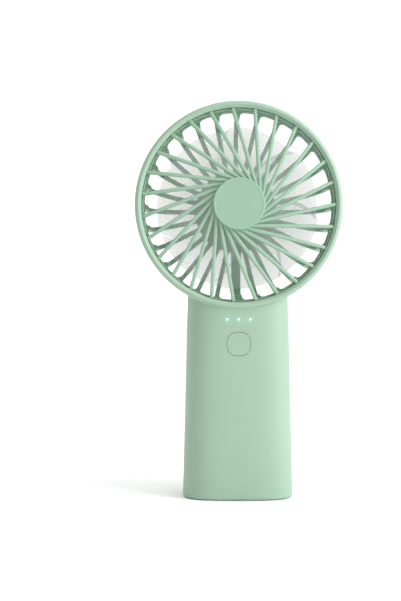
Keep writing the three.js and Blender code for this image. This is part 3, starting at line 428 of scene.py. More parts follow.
def cove_point(angle, turn, tuck=0):
    """A point of the cove that leads from the wall, at turn 0, out to the ring, at turn 1.

    A tuck draws the point back inside the ring.
    """
    x, y, facing = outline_at_drum(angle, 0, RING_RADIUS)
    rise = asin(abs(x) / RING_RADIUS) * abs(facing.x)
    end = pi / 2 - rise - COVE_LEAN * abs(facing.y)
    strength = min(1, max(0, (RING_BACK_Y - y) / COVE_FADE))
    reach = COVE_RADIUS * strength * (1 - cos(end))
    top = under_ring(x + facing.x * reach, y + facing.y * reach)
    now = COVE_RADIUS * strength * (1 - cos(end * turn)) * (1 - tuck)
    z = top - COVE_RADIUS * (sin(end) - sin(end * turn)) + tuck * COVE_RADIUS
    return Vector((x + facing.x * now, y + facing.y * now, z))


def cove_row(turn, tuck=0):
    """A row along the cove."""
    return lambda angle: cove_point(angle, turn, tuck)


def upper_wall_row(share):
    """A row of the plain wall, between the foot's fillet and the start of the cove."""
    low = FOOT_Z + FOOT_FILLET

    def place(angle):
        z = low + (cove_point(angle, 0).z - low) * share
        x, y, _ = outline(angle, 0, z)
        return Vector((x, y, z))
    return place


def handle_half(side):
    """One shell of the handle: a hollow with an open foot, cut at the seam. Side is -1 at the front."""
    fillet = [
        wall_row(FOOT_FILLET * (1 - cos(t)), FOOT_Z + FOOT_FILLET * (1 - sin(t)))
        for t in (pi / 2 * i / FILLET_ROWS for i in range(FILLET_ROWS, 0, -1))
    ]
    rows = [
        saddle_row(WALL, SADDLE_RADIUS + WALL, 0),
        *[saddle_row(WALL, SADDLE_RADIUS + WALL, share) for share in (0.3, 0.6, 0.85, 1)],
        wall_row(WALL, FOOT_Z),
        *fillet,
        *[upper_wall_row(i / WALL_ROWS) for i in range(WALL_ROWS)],
        *[cove_row(i / COVE_ROWS) for i in range(COVE_ROWS + 1)],
        cove_row(1, 0.9),
        saddle_row(0, SADDLE_RADIUS, 1, lower=SADDLE_LEDGE),
        saddle_row(SADDLE_EASE, SADDLE_RADIUS, 1, lower=SADDLE_EASE),
        *[saddle_row(SADDLE_LEDGE, SADDLE_RADIUS, share) for share in (1, 0.9, 0.75, 0.5, 0.25, 0)],
    ]
    bm = loft(rows, HANDLE_SIDES)
    seam_y = side * SEAM_GAP / 2
    bmesh.ops.bisect_plane(
        bm, geom=bm.verts[:] + bm.edges[:] + bm.faces[:], dist=1e-6, plane_co=(0, seam_y, 0),
        plane_no=(0, -side, 0), clear_outer=True)
    rim = [e for e in bm.edges if e.is_boundary]
    bmesh.ops.holes_fill(bm, edges=rim, sides=0)
    bmesh.ops.recalc_face_normals(bm, faces=bm.faces)
    return bm


def ring():
    """The ring round the grille: a rounded outer edge, a ridge and a slope down to the bore."""
    edge_centre = (RING_RADIUS - RING_EDGE, RING_FRONT_Y + RING_EDGE)
    ease, soft = 0.5 * MM, 0.1 * MM
    profile = [
        *arc(edge_centre, RING_EDGE, 0, -90, 8),
        (RING_BORE + RING_BEVEL + 1.5 * soft, RING_FRONT_Y + 0.2 * soft),
        (RING_BORE + RING_BEVEL, RING_FRONT_Y + soft),
        (RING_BORE + soft, RING_FRONT_Y + RING_BEVEL_DROP),
        (RING_BORE, RING_FRONT_Y + RING_BEVEL_DROP + 1.2 * soft),
        (RING_BORE, RING_BACK_Y),
        *arc((RING_RADIUS - ease, RING_BACK_Y - ease), ease, 90, 0, 3),
    ]
    return turned(profile)


def front_handle():
    """The handle's front half with the ring, the button's hole and the three light holes."""
    chamfer = 0.15 * MM
    front = -HALF_DEPTH
    through = front + 2 * WALL
    around = BUTTON_GAP + chamfer
    steps = [(front - MM, 0), (front - 0.02 * MM, 0), (front + chamfer, chamfer), (through, chamfer)]
    button_hole = plate(
        BUTTON_WIDTH + 2 * around, BUTTON_HEIGHT + 2 * around, BUTTON_CORNER + around, steps, BUTTON_Z)
    light_holes = [
        pin(centre.x, centre.z, LIGHT_RADIUS + LIGHT_GAP, [(front - MM, 0), (through, 0)], 32)
        for centre in indicator_centres
    ]
    return cut(joined(handle_half(-1), ring()), button_hole, *light_holes)


def rear_handle():
    """The handle's rear half with the socket's slot and the two eyelets."""
    chamfer = 0.3 * MM
    back = HALF_DEPTH
    inside = back - 2 * WALL
    around = GAP + chamfer
    steps = [(inside, chamfer), (back - chamfer, chamfer), (back + 0.02 * MM, 0), (back + MM, 0)]
    width = usb_high.x - usb_low.x + 2 * around
    height = usb_high.z - usb_low.z + 2 * around
    socket_hole = plate(width, height, height / 2 - 0.01 * MM, steps, USB_Z)
    eyelets = [
        pin(side * EYELET_X, EYELET_Z, EYELET_RADIUS + chamfer, steps, 48) for side in (-1, 1)
    ]
    return cut(handle_half(1), socket_hole, *eyelets)


def foot_cap():
    """The plug in the handle's foot: a plate with a skirt that fits inside the shells."""
    inset = WALL + GAP
    soft, tab_height = 0.4 * MM, 0.3 * MM
    top, plate_top, skirt = foot_high.z, 2.2 * MM, 1.2 * MM
    rows = [
        lambda angle: Vector((0, 0, 0)),
        wall_row(inset + 4 * MM, 0),
        wall_row(inset + soft, 0),
        wall_row(inset + 0.12 * MM, 0.12 * MM),
        wall_row(inset, soft),
        wall_row(inset, top),
        wall_row(inset + skirt, top),
        wall_row(inset + skirt, plate_top),
        lambda angle: Vector((0, 0, plate_top)),
    ]
    tab = block(
        (TAB_X - TAB_WIDTH / 2, foot_low.y, 0),
        (TAB_X + TAB_WIDTH / 2, -HALF_DEPTH + 2 * WALL, tab_height),
        edge=0.1 * MM)
    return joined(loft(rows, 96), tab)


# ---- Front grille ----------------------------------------------------------------------------------
def grille_rib():
    """One rib: straight seen from the front, gently bowed forward seen from the side."""
    outer = sqrt((GRILLE_RADIUS - 0.1 * MM) ** 2 - RIB_OFFSET ** 2)
    inner = sqrt((GRILLE_HUB_RADIUS - 0.6 * MM) ** 2 - RIB_OFFSET ** 2)
    outer_y, inner_y = GRILLE_FRONT_Y + 0.4 * MM, grille_low.y + 0.3 * MM
    bow_x, bow_y = (inner + outer) / 2 + RIB_BOW, grille_low.y

    def place(co):
        t = 1 - co.x
        x = (1 - t) ** 2 * outer + 2 * t * (1 - t) * bow_x + t ** 2 * inner
        y = (1 - t) ** 2 * outer_y + 2 * t * (1 - t) * bow_y + t ** 2 * inner_y
        deeper = 1 + 0.35 * (1 - t)
        return Vector((x, y - co.y * deeper, co.z - RIB_OFFSET))

    return reshape(bar(1, RIB_WIDTH, RIB_DEPTH, RIB_EDGE, 16), place)


def grille():
    """The front grille: a band, a hub and the swept ribs between them."""
    band_inside = GRILLE_RADIUS - GRILLE_WALL
    ease = 0.3 * MM
    band_front = GRILLE_FRONT_Y + GRILLE_BAND_SET_BACK
    band = turned([
        (band_inside + ease, band_front),
        *arc((GRILLE_RADIUS - ease, band_front + ease), ease, -90, 0, 3),
        (GRILLE_RADIUS, GRILLE_BACK_Y),
        *arc((band_inside + ease, GRILLE_BACK_Y - ease), ease, 90, 180, 3),
        (band_inside, band_front + ease),
    ])
    bore = HUB_CAP_PEG + GAP
    hub = turned([
        (bore, grille_low.y),
        (GRILLE_HUB_RADIUS - ease, grille_low.y),
        (GRILLE_HUB_RADIUS, grille_low.y + ease),
        (GRILLE_HUB_RADIUS, grille_low.y + GRILLE_HUB_DEPTH),
        (bore, grille_low.y + GRILLE_HUB_DEPTH),
    ], 96)
    ribs = round_the_head(grille_rib(), RIB_START, RIB_COUNT, RIB_COUNT)
    return joined(band, hub, ribs)


def hub_cap():
    """The disc on the grille's hub: slightly sunk inside a narrow rim, with a peg at its back."""
    front, back = hub_cap_low.y, grille_low.y - GAP
    radius, round_over = hub_cap_high.x, 0.6 * MM
    sunk, rim, slope = 0.12 * MM, 1.1 * MM, 0.2 * MM
    return turned([
        (0, front + sunk),
        (radius - rim - slope, front + sunk),
        (radius - rim, front),
        *arc((radius - round_over, front + round_over), round_over, -90, 0, 5),
        (radius, back),
        (HUB_CAP_PEG, back),
        (HUB_CAP_PEG, hub_cap_high.y),
        (0, hub_cap_high.y),
    ], 128, closed=False)


# ---- Rear cage -------------------------------------------------------------------------------------
def cage_line(distance, depth):
    """Radius and y of a point some distance along the cage's side and some depth below its surface."""
    if distance < FIN_STRAIGHT:
        return CAGE_RADIUS - depth, FIN_START_Y + distance
    if distance < FIN_STRAIGHT + FIN_BEND:
        turn = (distance - FIN_STRAIGHT) / SHOULDER_RADIUS
        radius = SHOULDER_RADIUS - depth
        return SHOULDER_CENTRE + radius * cos(turn), SHOULDER_Y + radius * sin(turn)
    return SHOULDER_CENTRE - (distance - FIN_STRAIGHT - FIN_BEND), CAGE_BACK_Y - depth


def arch(distance, radius):
    """How much wider a fin is on each side at a distance from what it grows out of."""
    left = max(0, radius - max(0, distance))
    return radius - sqrt(radius ** 2 - left ** 2)


def cage_bar(width, outer_depth, inner_depth, root, root_depth=None, start=0, end=FIN_LENGTH):
    """A bar bent along the cage's side, with sides that arch into the band and the collar.

    A root depth makes it start that deep and reach its full depth a little further on.
    """
    band_end = BAND_DEPTH - (FIN_START_Y - BAND_Y)
    arch_share = 0.25 if root else 0

    def travelled(share):
        if not 0 < share < arch_share:
            after = band_end + root if root else start
            return max(start, after + (end - after) * (share - arch_share) / (1 - arch_share))
        return band_end + root * (1 - cos(pi / 2 * share / arch_share))

    def place(co):
        distance = travelled(co.x) if co.x > 0 else start
        spread = arch(distance - band_end, root) + arch(FIN_LENGTH - FIN_OVERLAP - distance, root / 3)
        depth = -co.y
        if root_depth:
            grown = min(1, max(0, (distance - band_end) / FIN_GROWTH))
            depth *= (root_depth + (inner_depth - root_depth) * sin(pi / 2 * grown)) / inner_depth
        radius, y = cage_line(distance, outer_depth + depth)
        across = co.z * (1 + 2 * spread / width) / cage_line(distance, 0)[0]
        return Vector((radius * cos(across), y, radius * sin(across)))

    edge = min(FIN_EDGE, 0.3 * width)
    return reshape(bar(1, width, inner_depth - outer_depth, edge, FIN_CUTS), place)


def cage():
    """The rear cage: a band, a collar, fins between them and a spine with a channel for the leads."""
    ease = 0.4 * MM
    inside = CAGE_RADIUS - BAND_WALL
    band = turned([
        (inside, cage_low.y),
        (GRILLE_RADIUS, cage_low.y),
        (GRILLE_RADIUS, BAND_Y),
        (CAGE_RADIUS - ease, BAND_Y),
        (CAGE_RADIUS, BAND_Y + ease),
        *arc((CAGE_RADIUS - ease, BAND_Y + BAND_DEPTH - ease), ease, 0, 90, 3),
        *arc((inside + ease, BAND_Y + BAND_DEPTH - ease), ease, 90, 180, 3),
    ])
    collar_inside = CUP_RADIUS + GAP
    collar_front = CAGE_BACK_Y - COLLAR_DEPTH
    collar = turned([
        (collar_inside, collar_front),
        *arc((COLLAR_RADIUS - ease, collar_front + ease), ease, -90, 0, 3),
        *arc((COLLAR_RADIUS - ease, CAGE_BACK_Y - ease), ease, 0, 90, 3),
        (collar_inside, CAGE_BACK_Y),
    ], 128)
    fin = cage_bar(FIN_WIDTH, 0, FIN_DEPTH, FIN_ARCH, BAND_WALL)
    fins = round_the_head(fin, 180 + 360 / FIN_PLACES, FIN_PLACES - 1, FIN_PLACES)
    spine = round_the_head(cage_bar(SPINE_WIDTH, 0, SPINE_DEPTH, FIN_ARCH, BAND_WALL), 180)
    gusset_top = CUP_RADIUS + 0.7 * (SHOULDER_CENTRE - CUP_RADIUS)
    gusset = block(
        (-SPINE_WIDTH / 2, cup_low.y + 2.4 * MM, HEAD_Z - gusset_top),
        (SPINE_WIDTH / 2, CAGE_BACK_Y - SPINE_DEPTH + 0.5 * MM, HEAD_Z - CUP_RADIUS - GAP))
    channel = round_the_head(
        cage_bar(SPINE_WIDTH - 2 * SPINE_WALL, SPINE_WALL, SPINE_DEPTH + 0.5 * MM, 0,
                 start=CHANNEL_START_Y - FIN_START_Y, end=FIN_LENGTH - CHANNEL_END), 180)
    return cut(joined(band, collar, fins, spine, gusset), channel, lead_hole())


def lead_hole():
    """The leads' own shape, grown by a clearance, to cut their way through other pieces."""
    bm = bmesh.new()
    bm.from_mesh(frame["nodes"]["head_leads"].data)
    cleaned(bm, 1e-6)
    bm.normal_update()
    for vertex in bm.verts:
        vertex.co += vertex.normal * LEAD_CLEARANCE
    return bm


# ---- Lamp ------------------------------------------------------------------------------------------
def lamp_cup():
    """The cup in the cage's collar: it holds the motor in front and the lamp behind."""
    inside = CUP_RADIUS - CUP_WALL
    lip, soft = cup_high.x, 0.6 * MM
    ledge_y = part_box("lamp_board")[0].y - GAP
    floor_top = cup_low.y + CUP_FLOOR
    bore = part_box("front_bearing")[1].x + 0.7 * MM
    profile = [
        (bore, cup_low.y),
        (CUP_RADIUS - soft, cup_low.y),
        (CUP_RADIUS, cup_low.y + soft),
        (CUP_RADIUS, CAGE_BACK_Y + GAP),
        (lip, CAGE_BACK_Y + GAP),
        *arc((lip - soft, cup_high.y - soft), soft, 0, 90, 4),
        (inside + 0.2 * MM, cup_high.y),
        (inside, cup_high.y - 0.2 * MM),
        (inside, ledge_y),
        (inside - CUP_LEDGE, ledge_y),
        (inside - CUP_LEDGE, floor_top),
        (bore, floor_top),
    ]
    screws = [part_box(f"motor_screw_{i}") for i in (1, 2, 3)]
    steps = [(cup_low.y - MM, 0), (floor_top + MM, 0)]
    holes = [
        pin((low.x + high.x) / 2, (low.z + high.z) / 2, 1.1 * MM, steps, 24) for low, high in screws
    ]
    return cut(turned(profile, 128), *holes, lead_hole())


def lamp_lens():
    """The lamp's window: a flat front and a slightly crowned back with a soft edge."""
    radius, soft, crown = lens_high.x, 0.7 * MM, 0.25 * MM
    return turned([
        (0, lens_low.y),
        (radius, lens_low.y),
        *arc((radius - soft, lens_high.y - soft - crown), soft, 0, 80, 5),
        (radius * 0.7, lens_high.y - 0.06 * MM),
        (radius * 0.35, lens_high.y),
        (0, lens_high.y),
    ], 128, closed=False)


# ---- Impeller --------------------------------------------------------------------------------------
def blade():
    """A broad swept blade, thin at its leading and trailing edges and round at its tip's corners."""
    root = ROTOR_HUB_RADIUS - ROTOR_HUB_WALL / 2
    span = IMPELLER_RADIUS - root
    spread = 2 * pi * BLADE_COVER / BLADE_COUNT

    def place(co):
        outward, across = co.z, co.x - 0.5
        radius = root + span * outward
        corner = 1 - 0.02 * max(0, (outward - 0.85) / 0.15) ** 3
        thinning = 1 - 1.6 * abs(across) ** 1.5
        angle = across * corner * spread * (1.05 - 0.05 * outward) + BLADE_SWEEP * outward ** 2
        y = BLADE_MIDDLE_Y + across * BLADE_PITCH_HEIGHT + (co.y + 0.5) * BLADE_THICKNESS * thinning
        return Vector((radius * sin(angle), y, radius * cos(angle)))

    bm = bmesh.new()
    bmesh.ops.create_cube(bm, size=1)
    bmesh.ops.translate(bm, verts=bm.verts, vec=(0.5, -0.5, 0.5))
    bmesh.ops.subdivide_edges(
        bm, edges=[e for e in bm.edges if e.verts[0].co.x != e.verts[1].co.x], cuts=22)
    bmesh.ops.subdivide_edges(
        bm, edges=[e for e in bm.edges if e.verts[0].co.z != e.verts[1].co.z], cuts=11)
    return reshape(bm, place)


def impeller():
    """A cup-shaped hub with a boss for the shaft, and the blades round it."""
    front, back = impeller_low.y, impeller_low.y + ROTOR_HUB_DEPTH
    floor_y = front + ROTOR_HUB_WALL
    inside = ROTOR_HUB_RADIUS - ROTOR_HUB_WALL
    soft = 1.6 * MM
    hub = turned([
        (SHAFT_BORE, front),
        *arc((ROTOR_HUB_RADIUS - soft, front + soft), soft, -90, 0, 6),
        (ROTOR_HUB_RADIUS, back),
        (inside, back),
        (inside, floor_y),
        (SHAFT_BORE + BOSS_WALL, floor_y),
        (SHAFT_BORE + BOSS_WALL, floor_y + BOSS_DEPTH),
        (SHAFT_BORE, floor_y + BOSS_DEPTH),
    ], 96)
    blades = round_the_head(blade(), 90, BLADE_COUNT, BLADE_COUNT)
    return joined(hub, blades)


# ---- Button and lights -----------------------------------------------------------------------------
def button():
    """The power button: a flush cap, a flange that keeps it in and a stem on the switch."""
    front, back = button_low.y, -HALF_DEPTH + WALL + GAP
    flange_back, stem_end = back + BUTTON_FLANGE, plunger_low.y - GAP
    soft = 0.2 * MM
    steps = [(front, soft), (front + soft / 4, 0.4 * soft), (front + soft, 0), (back + soft, 0)]
    cap = plate(BUTTON_WIDTH, BUTTON_HEIGHT, BUTTON_CORNER, steps, BUTTON_Z)
    flange = plate(
        button_high.x * 2, button_high.z - button_low.z, BUTTON_CORNER + 0.9 * MM,
        [(back, 0), (flange_back, 0)], BUTTON_Z)
    stem = pin(0, BUTTON_Z, BUTTON_STEM_RADIUS, [(flange_back - soft, 0), (stem_end, 0)], 32)
    return joined(cap, flange, stem)


def light_guide(centre, low_y, high_y):
    """A light pipe: a domed rod through the shell, with a flange behind it."""
    flange_y = -HALF_DEPTH + WALL + GAP
    dome = [(low_y, 0.3 * MM), (low_y + 0.05 * MM, 0.1 * MM), (low_y + 0.2 * MM, 0)]
    rod = pin(centre.x, centre.z, LIGHT_RADIUS, [*dome, (high_y, 0)], 32)
    steps = [(flange_y, 0), (flange_y + LIGHT_FLANGE, 0)]
    return joined(rod, pin(centre.x, centre.z, LIGHT_RADIUS + 0.6 * MM, steps, 32))


# ---- Materials -------------------------------------------------------------------------------------
def group(name, inputs, outputs):
    """A shader node group with named inputs of (name, kind, value) and outputs of (name, kind)."""
    tree = bpy.data.node_groups.new(name, "ShaderNodeTree")
    for label, kind, value in inputs:
        socket = tree.interface.new_socket(name=label, in_out="INPUT", socket_type=f"NodeSocket{kind}")
        socket.default_value = value
    for label, kind in outputs:
        tree.interface.new_socket(name=label, in_out="OUTPUT", socket_type=f"NodeSocket{kind}")
    return tree, node(tree, "NodeGroupInput").outputs, node(tree, "NodeGroupOutput").inputs


def node(tree, kind, operation=None, **values):
    """Adds a node. Values name its input sockets, by number after an underscore or by label."""
    made = tree.nodes.new(kind if kind.startswith("NodeGroup") else f"ShaderNode{kind}")
    if operation:
        made.operation = operation
    for label, value in values.items():
        socket = int(label[1:]) if label.startswith("_") else label.replace("_", " ")
        feed(tree, made.inputs[socket], value)
    return made


def feed(tree, socket, value):
    """Links a socket to an input, or sets the input to a constant."""
    if isinstance(value, bpy.types.NodeSocket):
        tree.links.new(value, socket)
    else:
        socket.default_value = value


def maths(tree, operation, a, b=0.0, c=0.0):
    """The result of a maths node."""
    return node(tree, "Math", operation, _0=a, _1=b, _2=c).outputs[0]


def own_place(tree):
    """The piece's own coordinates."""
    return node(tree, "TexCoord").outputs["Object"]


def noise(tree, scale, detail=2.0, roughness=0.5, vector=None):
    """Noise on the piece's own coordinates, about 0.5 on average."""
    place = vector or own_place(tree)
    made = node(tree, "TexNoise", Vector=place, Scale=scale, Detail=detail, Roughness=roughness)
    return made.outputs["Fac"]


def blend(tree, share, a, b):
    """Mixes two colours."""
    mix = tree.nodes.new("ShaderNodeMix")
    mix.data_type = "RGBA"
    feed(tree, mix.inputs["Factor"], share)
    feed(tree, mix.inputs[6], a)
    feed(tree, mix.inputs[7], b)
    return mix.outputs[2]


def moulded_surface():
    """A fine sparked mould texture: a height for the bump and a roughness that wanders a little."""
    tree, given, out = group(
        "moulded surface",
        [("Grain", "Float", 4000.0), ("Roughness", "Float", 0.5), ("Wander", "Float", 0.06)],
        [("Height", "Float"), ("Roughness", "Float")])
    fine = noise(tree, given["Grain"], 3.0, 0.6)
    broad = noise(tree, 60.0, 2.0)
    feed(tree, out["Height"], fine)
    both = maths(tree, "ADD", fine, broad)
    drift = maths(tree, "MULTIPLY_ADD", both, given["Wander"], given["Roughness"])
    feed(tree, out["Roughness"], maths(tree, "SUBTRACT", drift, given["Wander"]))
    return tree


def soft_tone():
    """A colour that drifts slightly between two tones over a piece, with a faint speckle."""
    tree, given, out = group(
        "soft tone",
        [("Light", "Color", (1, 1, 1, 1)), ("Dark", "Color", (0.8, 0.8, 0.8, 1)), ("Size", "Float", 40.0),
         ("Speckle", "Float", 0.1)],
        [("Color", "Color")])
    drift = noise(tree, given["Size"], 3.0)
    speck = maths(tree, "MULTIPLY", noise(tree, 2500.0, 1.0), given["Speckle"])
    feed(tree, out["Color"], blend(tree, maths(tree, "ADD", drift, speck), given["Light"], given["Dark"]))
    return tree


def brushed_lines():
    """Fine lines drawn round or along a metal piece: a height and a roughness."""
    tree, given, out = group(
        "brushed lines",
        [("Stretch", "Vector", (1.0, 1.0, 1.0)), ("Roughness", "Float", 0.3), ("Wander", "Float", 0.15)],
        [("Height", "Float"), ("Roughness", "Float")])
    place = node(tree, "VectorMath", "MULTIPLY", _0=own_place(tree), _1=given["Stretch"])
    lines = noise(tree, 900.0, 4.0, 0.7, place.outputs[0])
    feed(tree, out["Height"], lines)
    feed(tree, out["Roughness"], maths(tree, "MULTIPLY_ADD", lines, given["Wander"], given["Roughness"]))
    return tree


SURFACE, TONE, BRUSHED = moulded_surface(), soft_tone(), brushed_lines()


def use(tree, shared, **values):
    """Places a shared node group in a material with its own values."""
    made = tree.nodes.new("ShaderNodeGroup")
    made.node_tree = shared
    for label, value in values.items():
        feed(tree, made.inputs[label], value)
    return made.outputs


def material(name, **constants):
    """A new material: its node tree and its Principled shader, with constants on the shader."""
    made = bpy.data.materials.new(name)
    made.use_nodes = True
    shader = made.node_tree.nodes["Principled BSDF"]
    for label, value in constants.items():
        shader.inputs[label.replace("_", " ")].default_value = value
    return made, made.node_tree, shader


def bumped(tree, shader, height, strength, distance):
    """Feeds a height to the shader's normal."""
    bump = node(tree, "Bump", Height=height, Strength=strength, Distance=distance)
    feed(tree, shader.inputs["Normal"], bump.outputs["Normal"])


def colour(red, green, blue):
    """A linear colour from display values of 0 to 255."""
    def linear(value):
        share = value / 255
        return share / 12.92 if share <= 0.04045 else ((share + 0.055) / 1.055) ** 2.4
    return (linear(red), linear(green), linear(blue), 1)


def moulded_plastic(name, light, dark, roughness=0.5, grain=4000.0, **constants):
    """An opaque moulded plastic with a fine texture and a slight drift of tone."""
    made, tree, shader = material(name, **constants)
    feed(tree, shader.inputs["Base Color"], use(tree, TONE, Light=light, Dark=dark)["Color"])
    surface = use(tree, SURFACE, Grain=grain, Roughness=roughness)
    feed(tree, shader.inputs["Roughness"], surface["Roughness"])
    bumped(tree, shader, surface["Height"], 0.12, 0.03 * MM)
    return made


MINT_LIGHT, MINT_DARK = colour(153, 181, 159), colour(147, 175, 152)
# Painted shade: a deeper, greener copy of the mint for the grille, cage and lamp bowl. It stands in for
# the greener shade that light takes on after bouncing inside the head.
SHADED_MINT_LIGHT, SHADED_MINT_DARK = colour(147, 180, 156), colour(141, 174, 150)
BADGE_LIGHT, BADGE_DARK = colour(145, 177, 155), colour(141, 172, 151)
WHITE = colour(255, 255, 255)
FROST = 0.2  # how much one face of a blade hides
HALO_RADIUS = 2.2 * MM


def lit_mint():
    """Mint plastic with a painted glow: emission painted on the shell as a soft halo round the three
    indicator lights behind it.
    """
    made = moulded_plastic("mint_shell_painted_halo", MINT_LIGHT, MINT_DARK, 0.48, IOR=1.46)
    tree = made.node_tree
    shader = tree.nodes["Principled BSDF"]
    glow = 0.0
    for centre in indicator_centres:
        at = (centre.x, -HALF_DEPTH, centre.z)
        away = node(tree, "VectorMath", "DISTANCE", _0=own_place(tree), _1=at).outputs["Value"]
        near = maths(tree, "DIVIDE", away, HALO_RADIUS)
        halo = maths(tree, "EXPONENT", maths(tree, "MULTIPLY", maths(tree, "MULTIPLY", near, near), -1.0))
        glow = maths(tree, "ADD", glow, halo)
    # Painted glow: a faint cyan emission painted on the shell round each light stands in for the lights'
    # halo; the shell itself is no lamp.
    feed(tree, shader.inputs["Emission Color"], blend(tree, glow, (0, 0, 0, 1), colour(150, 235, 225)))
    shader.inputs["Emission Strength"].default_value = 0.09
    return made


def from_axis(tree, centre):
    """The distance from the line along Y through a point."""
    place = node(tree, "VectorMath", "SUBTRACT", _0=own_place(tree), _1=centre)
    flat = node(tree, "VectorMath", "MULTIPLY", _0=place.outputs[0], _1=(1, 0, 1))
    return node(tree, "VectorMath", "LENGTH", _0=flat.outputs[0]).outputs["Value"]


def glowing(name, rim, falloff, strength, centre, radius):
    """A lit window: white in its middle, fading to another colour at its rim."""
    made, tree, shader = material(name, Roughness=0.3)
    share = maths(tree, "POWER", maths(tree, "DIVIDE", from_axis(tree, centre), radius), falloff)
    tone = blend(tree, share, WHITE, rim)
    feed(tree, shader.inputs["Base Color"], tone)
    feed(tree, shader.inputs["Emission Color"], tone)
    shader.inputs["Emission Strength"].default_value = strength
    bumped(tree, shader, noise(tree, 1500.0), 0.1, 0.02 * MM)
    return made


def light_pipe(number, centre):
    """A lit light pipe: a bright middle in a cyan rim."""
    return glowing(f"lit_pipe_{number}", colour(120, 225, 212), 2.0, 0.9, centre, LIGHT_RADIUS)


def frosted():
    """Milky see-through plastic: cloudier towards the hub and in faint clouds."""
    made, tree, shader = material("frosted_blades", IOR=1.45)
    radius = from_axis(tree, HEAD_CENTRE)
    inwards = maths(tree, "SUBTRACT", 1.0, maths(tree, "DIVIDE", radius, IMPELLER_RADIUS))
    cloud = maths(tree, "MULTIPLY_ADD", noise(tree, 90.0, 3.0), 0.08, FROST)
    feed(tree, shader.inputs["Alpha"], maths(tree, "ADD", cloud, maths(tree, "MULTIPLY", inwards, 0.35)))
    tone = use(tree, TONE, Light=colour(211, 216, 213), Dark=colour(201, 206, 203))
    feed(tree, shader.inputs["Base Color"], tone["Color"])
    surface = use(tree, SURFACE, Grain=2500.0, Roughness=0.42)
    feed(tree, shader.inputs["Roughness"], surface["Roughness"])
    bumped(tree, shader, surface["Height"], 0.15, 0.02 * MM)
    return made


def metal(name, light, dark, roughness, stretch):
    """A bare metal with fine lines along or round the piece."""
    made, tree, shader = material(name, Metallic=1.0)
    feed(tree, shader.inputs["Base Color"], use(tree, TONE, Light=light, Dark=dark, Size=300.0)["Color"])
    lines = use(tree, BRUSHED, Stretch=stretch, Roughness=roughness)
    feed(tree, shader.inputs["Roughness"], lines["Roughness"])
    bumped(tree, shader, lines["Height"], 0.2, 0.03 * MM)
    return made


def striped(name, light, dark, pitch, roughness, metallic):
    """A surface of even ridges, as on a winding or a stack of laminations."""
    made, tree, shader = material(name, Metallic=metallic)
    wave = tree.nodes.new("ShaderNodeTexWave")
    wave.wave_type, wave.bands_direction = "BANDS", "Y"
    feed(tree, wave.inputs["Vector"], own_place(tree))
    wave.inputs["Scale"].default_value = 0.31 / pitch
    feed(tree, shader.inputs["Base Color"], blend(tree, wave.outputs["Fac"], dark, light))
    surface = use(tree, SURFACE, Grain=3000.0, Roughness=roughness)
    feed(tree, shader.inputs["Roughness"], surface["Roughness"])
    bumped(tree, shader, wave.outputs["Fac"], 0.6, 0.08 * MM)
    return made


def circuit_board():
    """Green solder mask with the straight copper tracks that show through it as paler lines."""
    made, tree, shader = material("green_mask_board", Coat_Weight=0.4)
    bricks = node(
        tree, "TexBrick", Vector=own_place(tree), Scale=260.0, Mortar_Size=0.06, Brick_Width=0.7,
        Row_Height=0.35)
    mask = use(tree, TONE, Light=colour(30, 110, 66), Dark=colour(20, 88, 52))["Color"]
    feed(tree, shader.inputs["Base Color"], blend(tree, bricks.outputs["Fac"], mask, colour(62, 140, 88)))
    surface = use(tree, SURFACE, Grain=1500.0, Roughness=0.35)
    feed(tree, shader.inputs["Roughness"], surface["Roughness"])
    bumped(tree, shader, bricks.outputs["Fac"], 0.3, 0.03 * MM)
    return made


def foam():
    """Dark foam with open cells."""
    made, tree, shader = material("foam_pad")
    cells = tree.nodes.new("ShaderNodeTexVoronoi")
    feed(tree, cells.inputs["Vector"], own_place(tree))
    cells.inputs["Scale"].default_value = 1400.0
    tone = blend(tree, cells.outputs["Distance"], colour(60, 60, 62), colour(34, 34, 36))
    feed(tree, shader.inputs["Base Color"], tone)
    surface = use(tree, SURFACE, Grain=2000.0, Roughness=0.9)
    feed(tree, shader.inputs["Roughness"], surface["Roughness"])
    bumped(tree, shader, cells.outputs["Distance"], 0.8, 0.2 * MM)
    return made


mint = moulded_plastic("mint_shell", MINT_LIGHT, MINT_DARK, 0.48, IOR=1.46)
# Painted shade: the head's inner pieces are the same plastic, given the deeper mint in place of bounced
# shade.
mint_head_painted_shade = moulded_plastic("mint_head_painted_shade", SHADED_MINT_LIGHT, SHADED_MINT_DARK, 0.45, IOR=1.46)
mint_badge = moulded_plastic("mint_badge", BADGE_LIGHT, BADGE_DARK, 0.5, IOR=1.46)
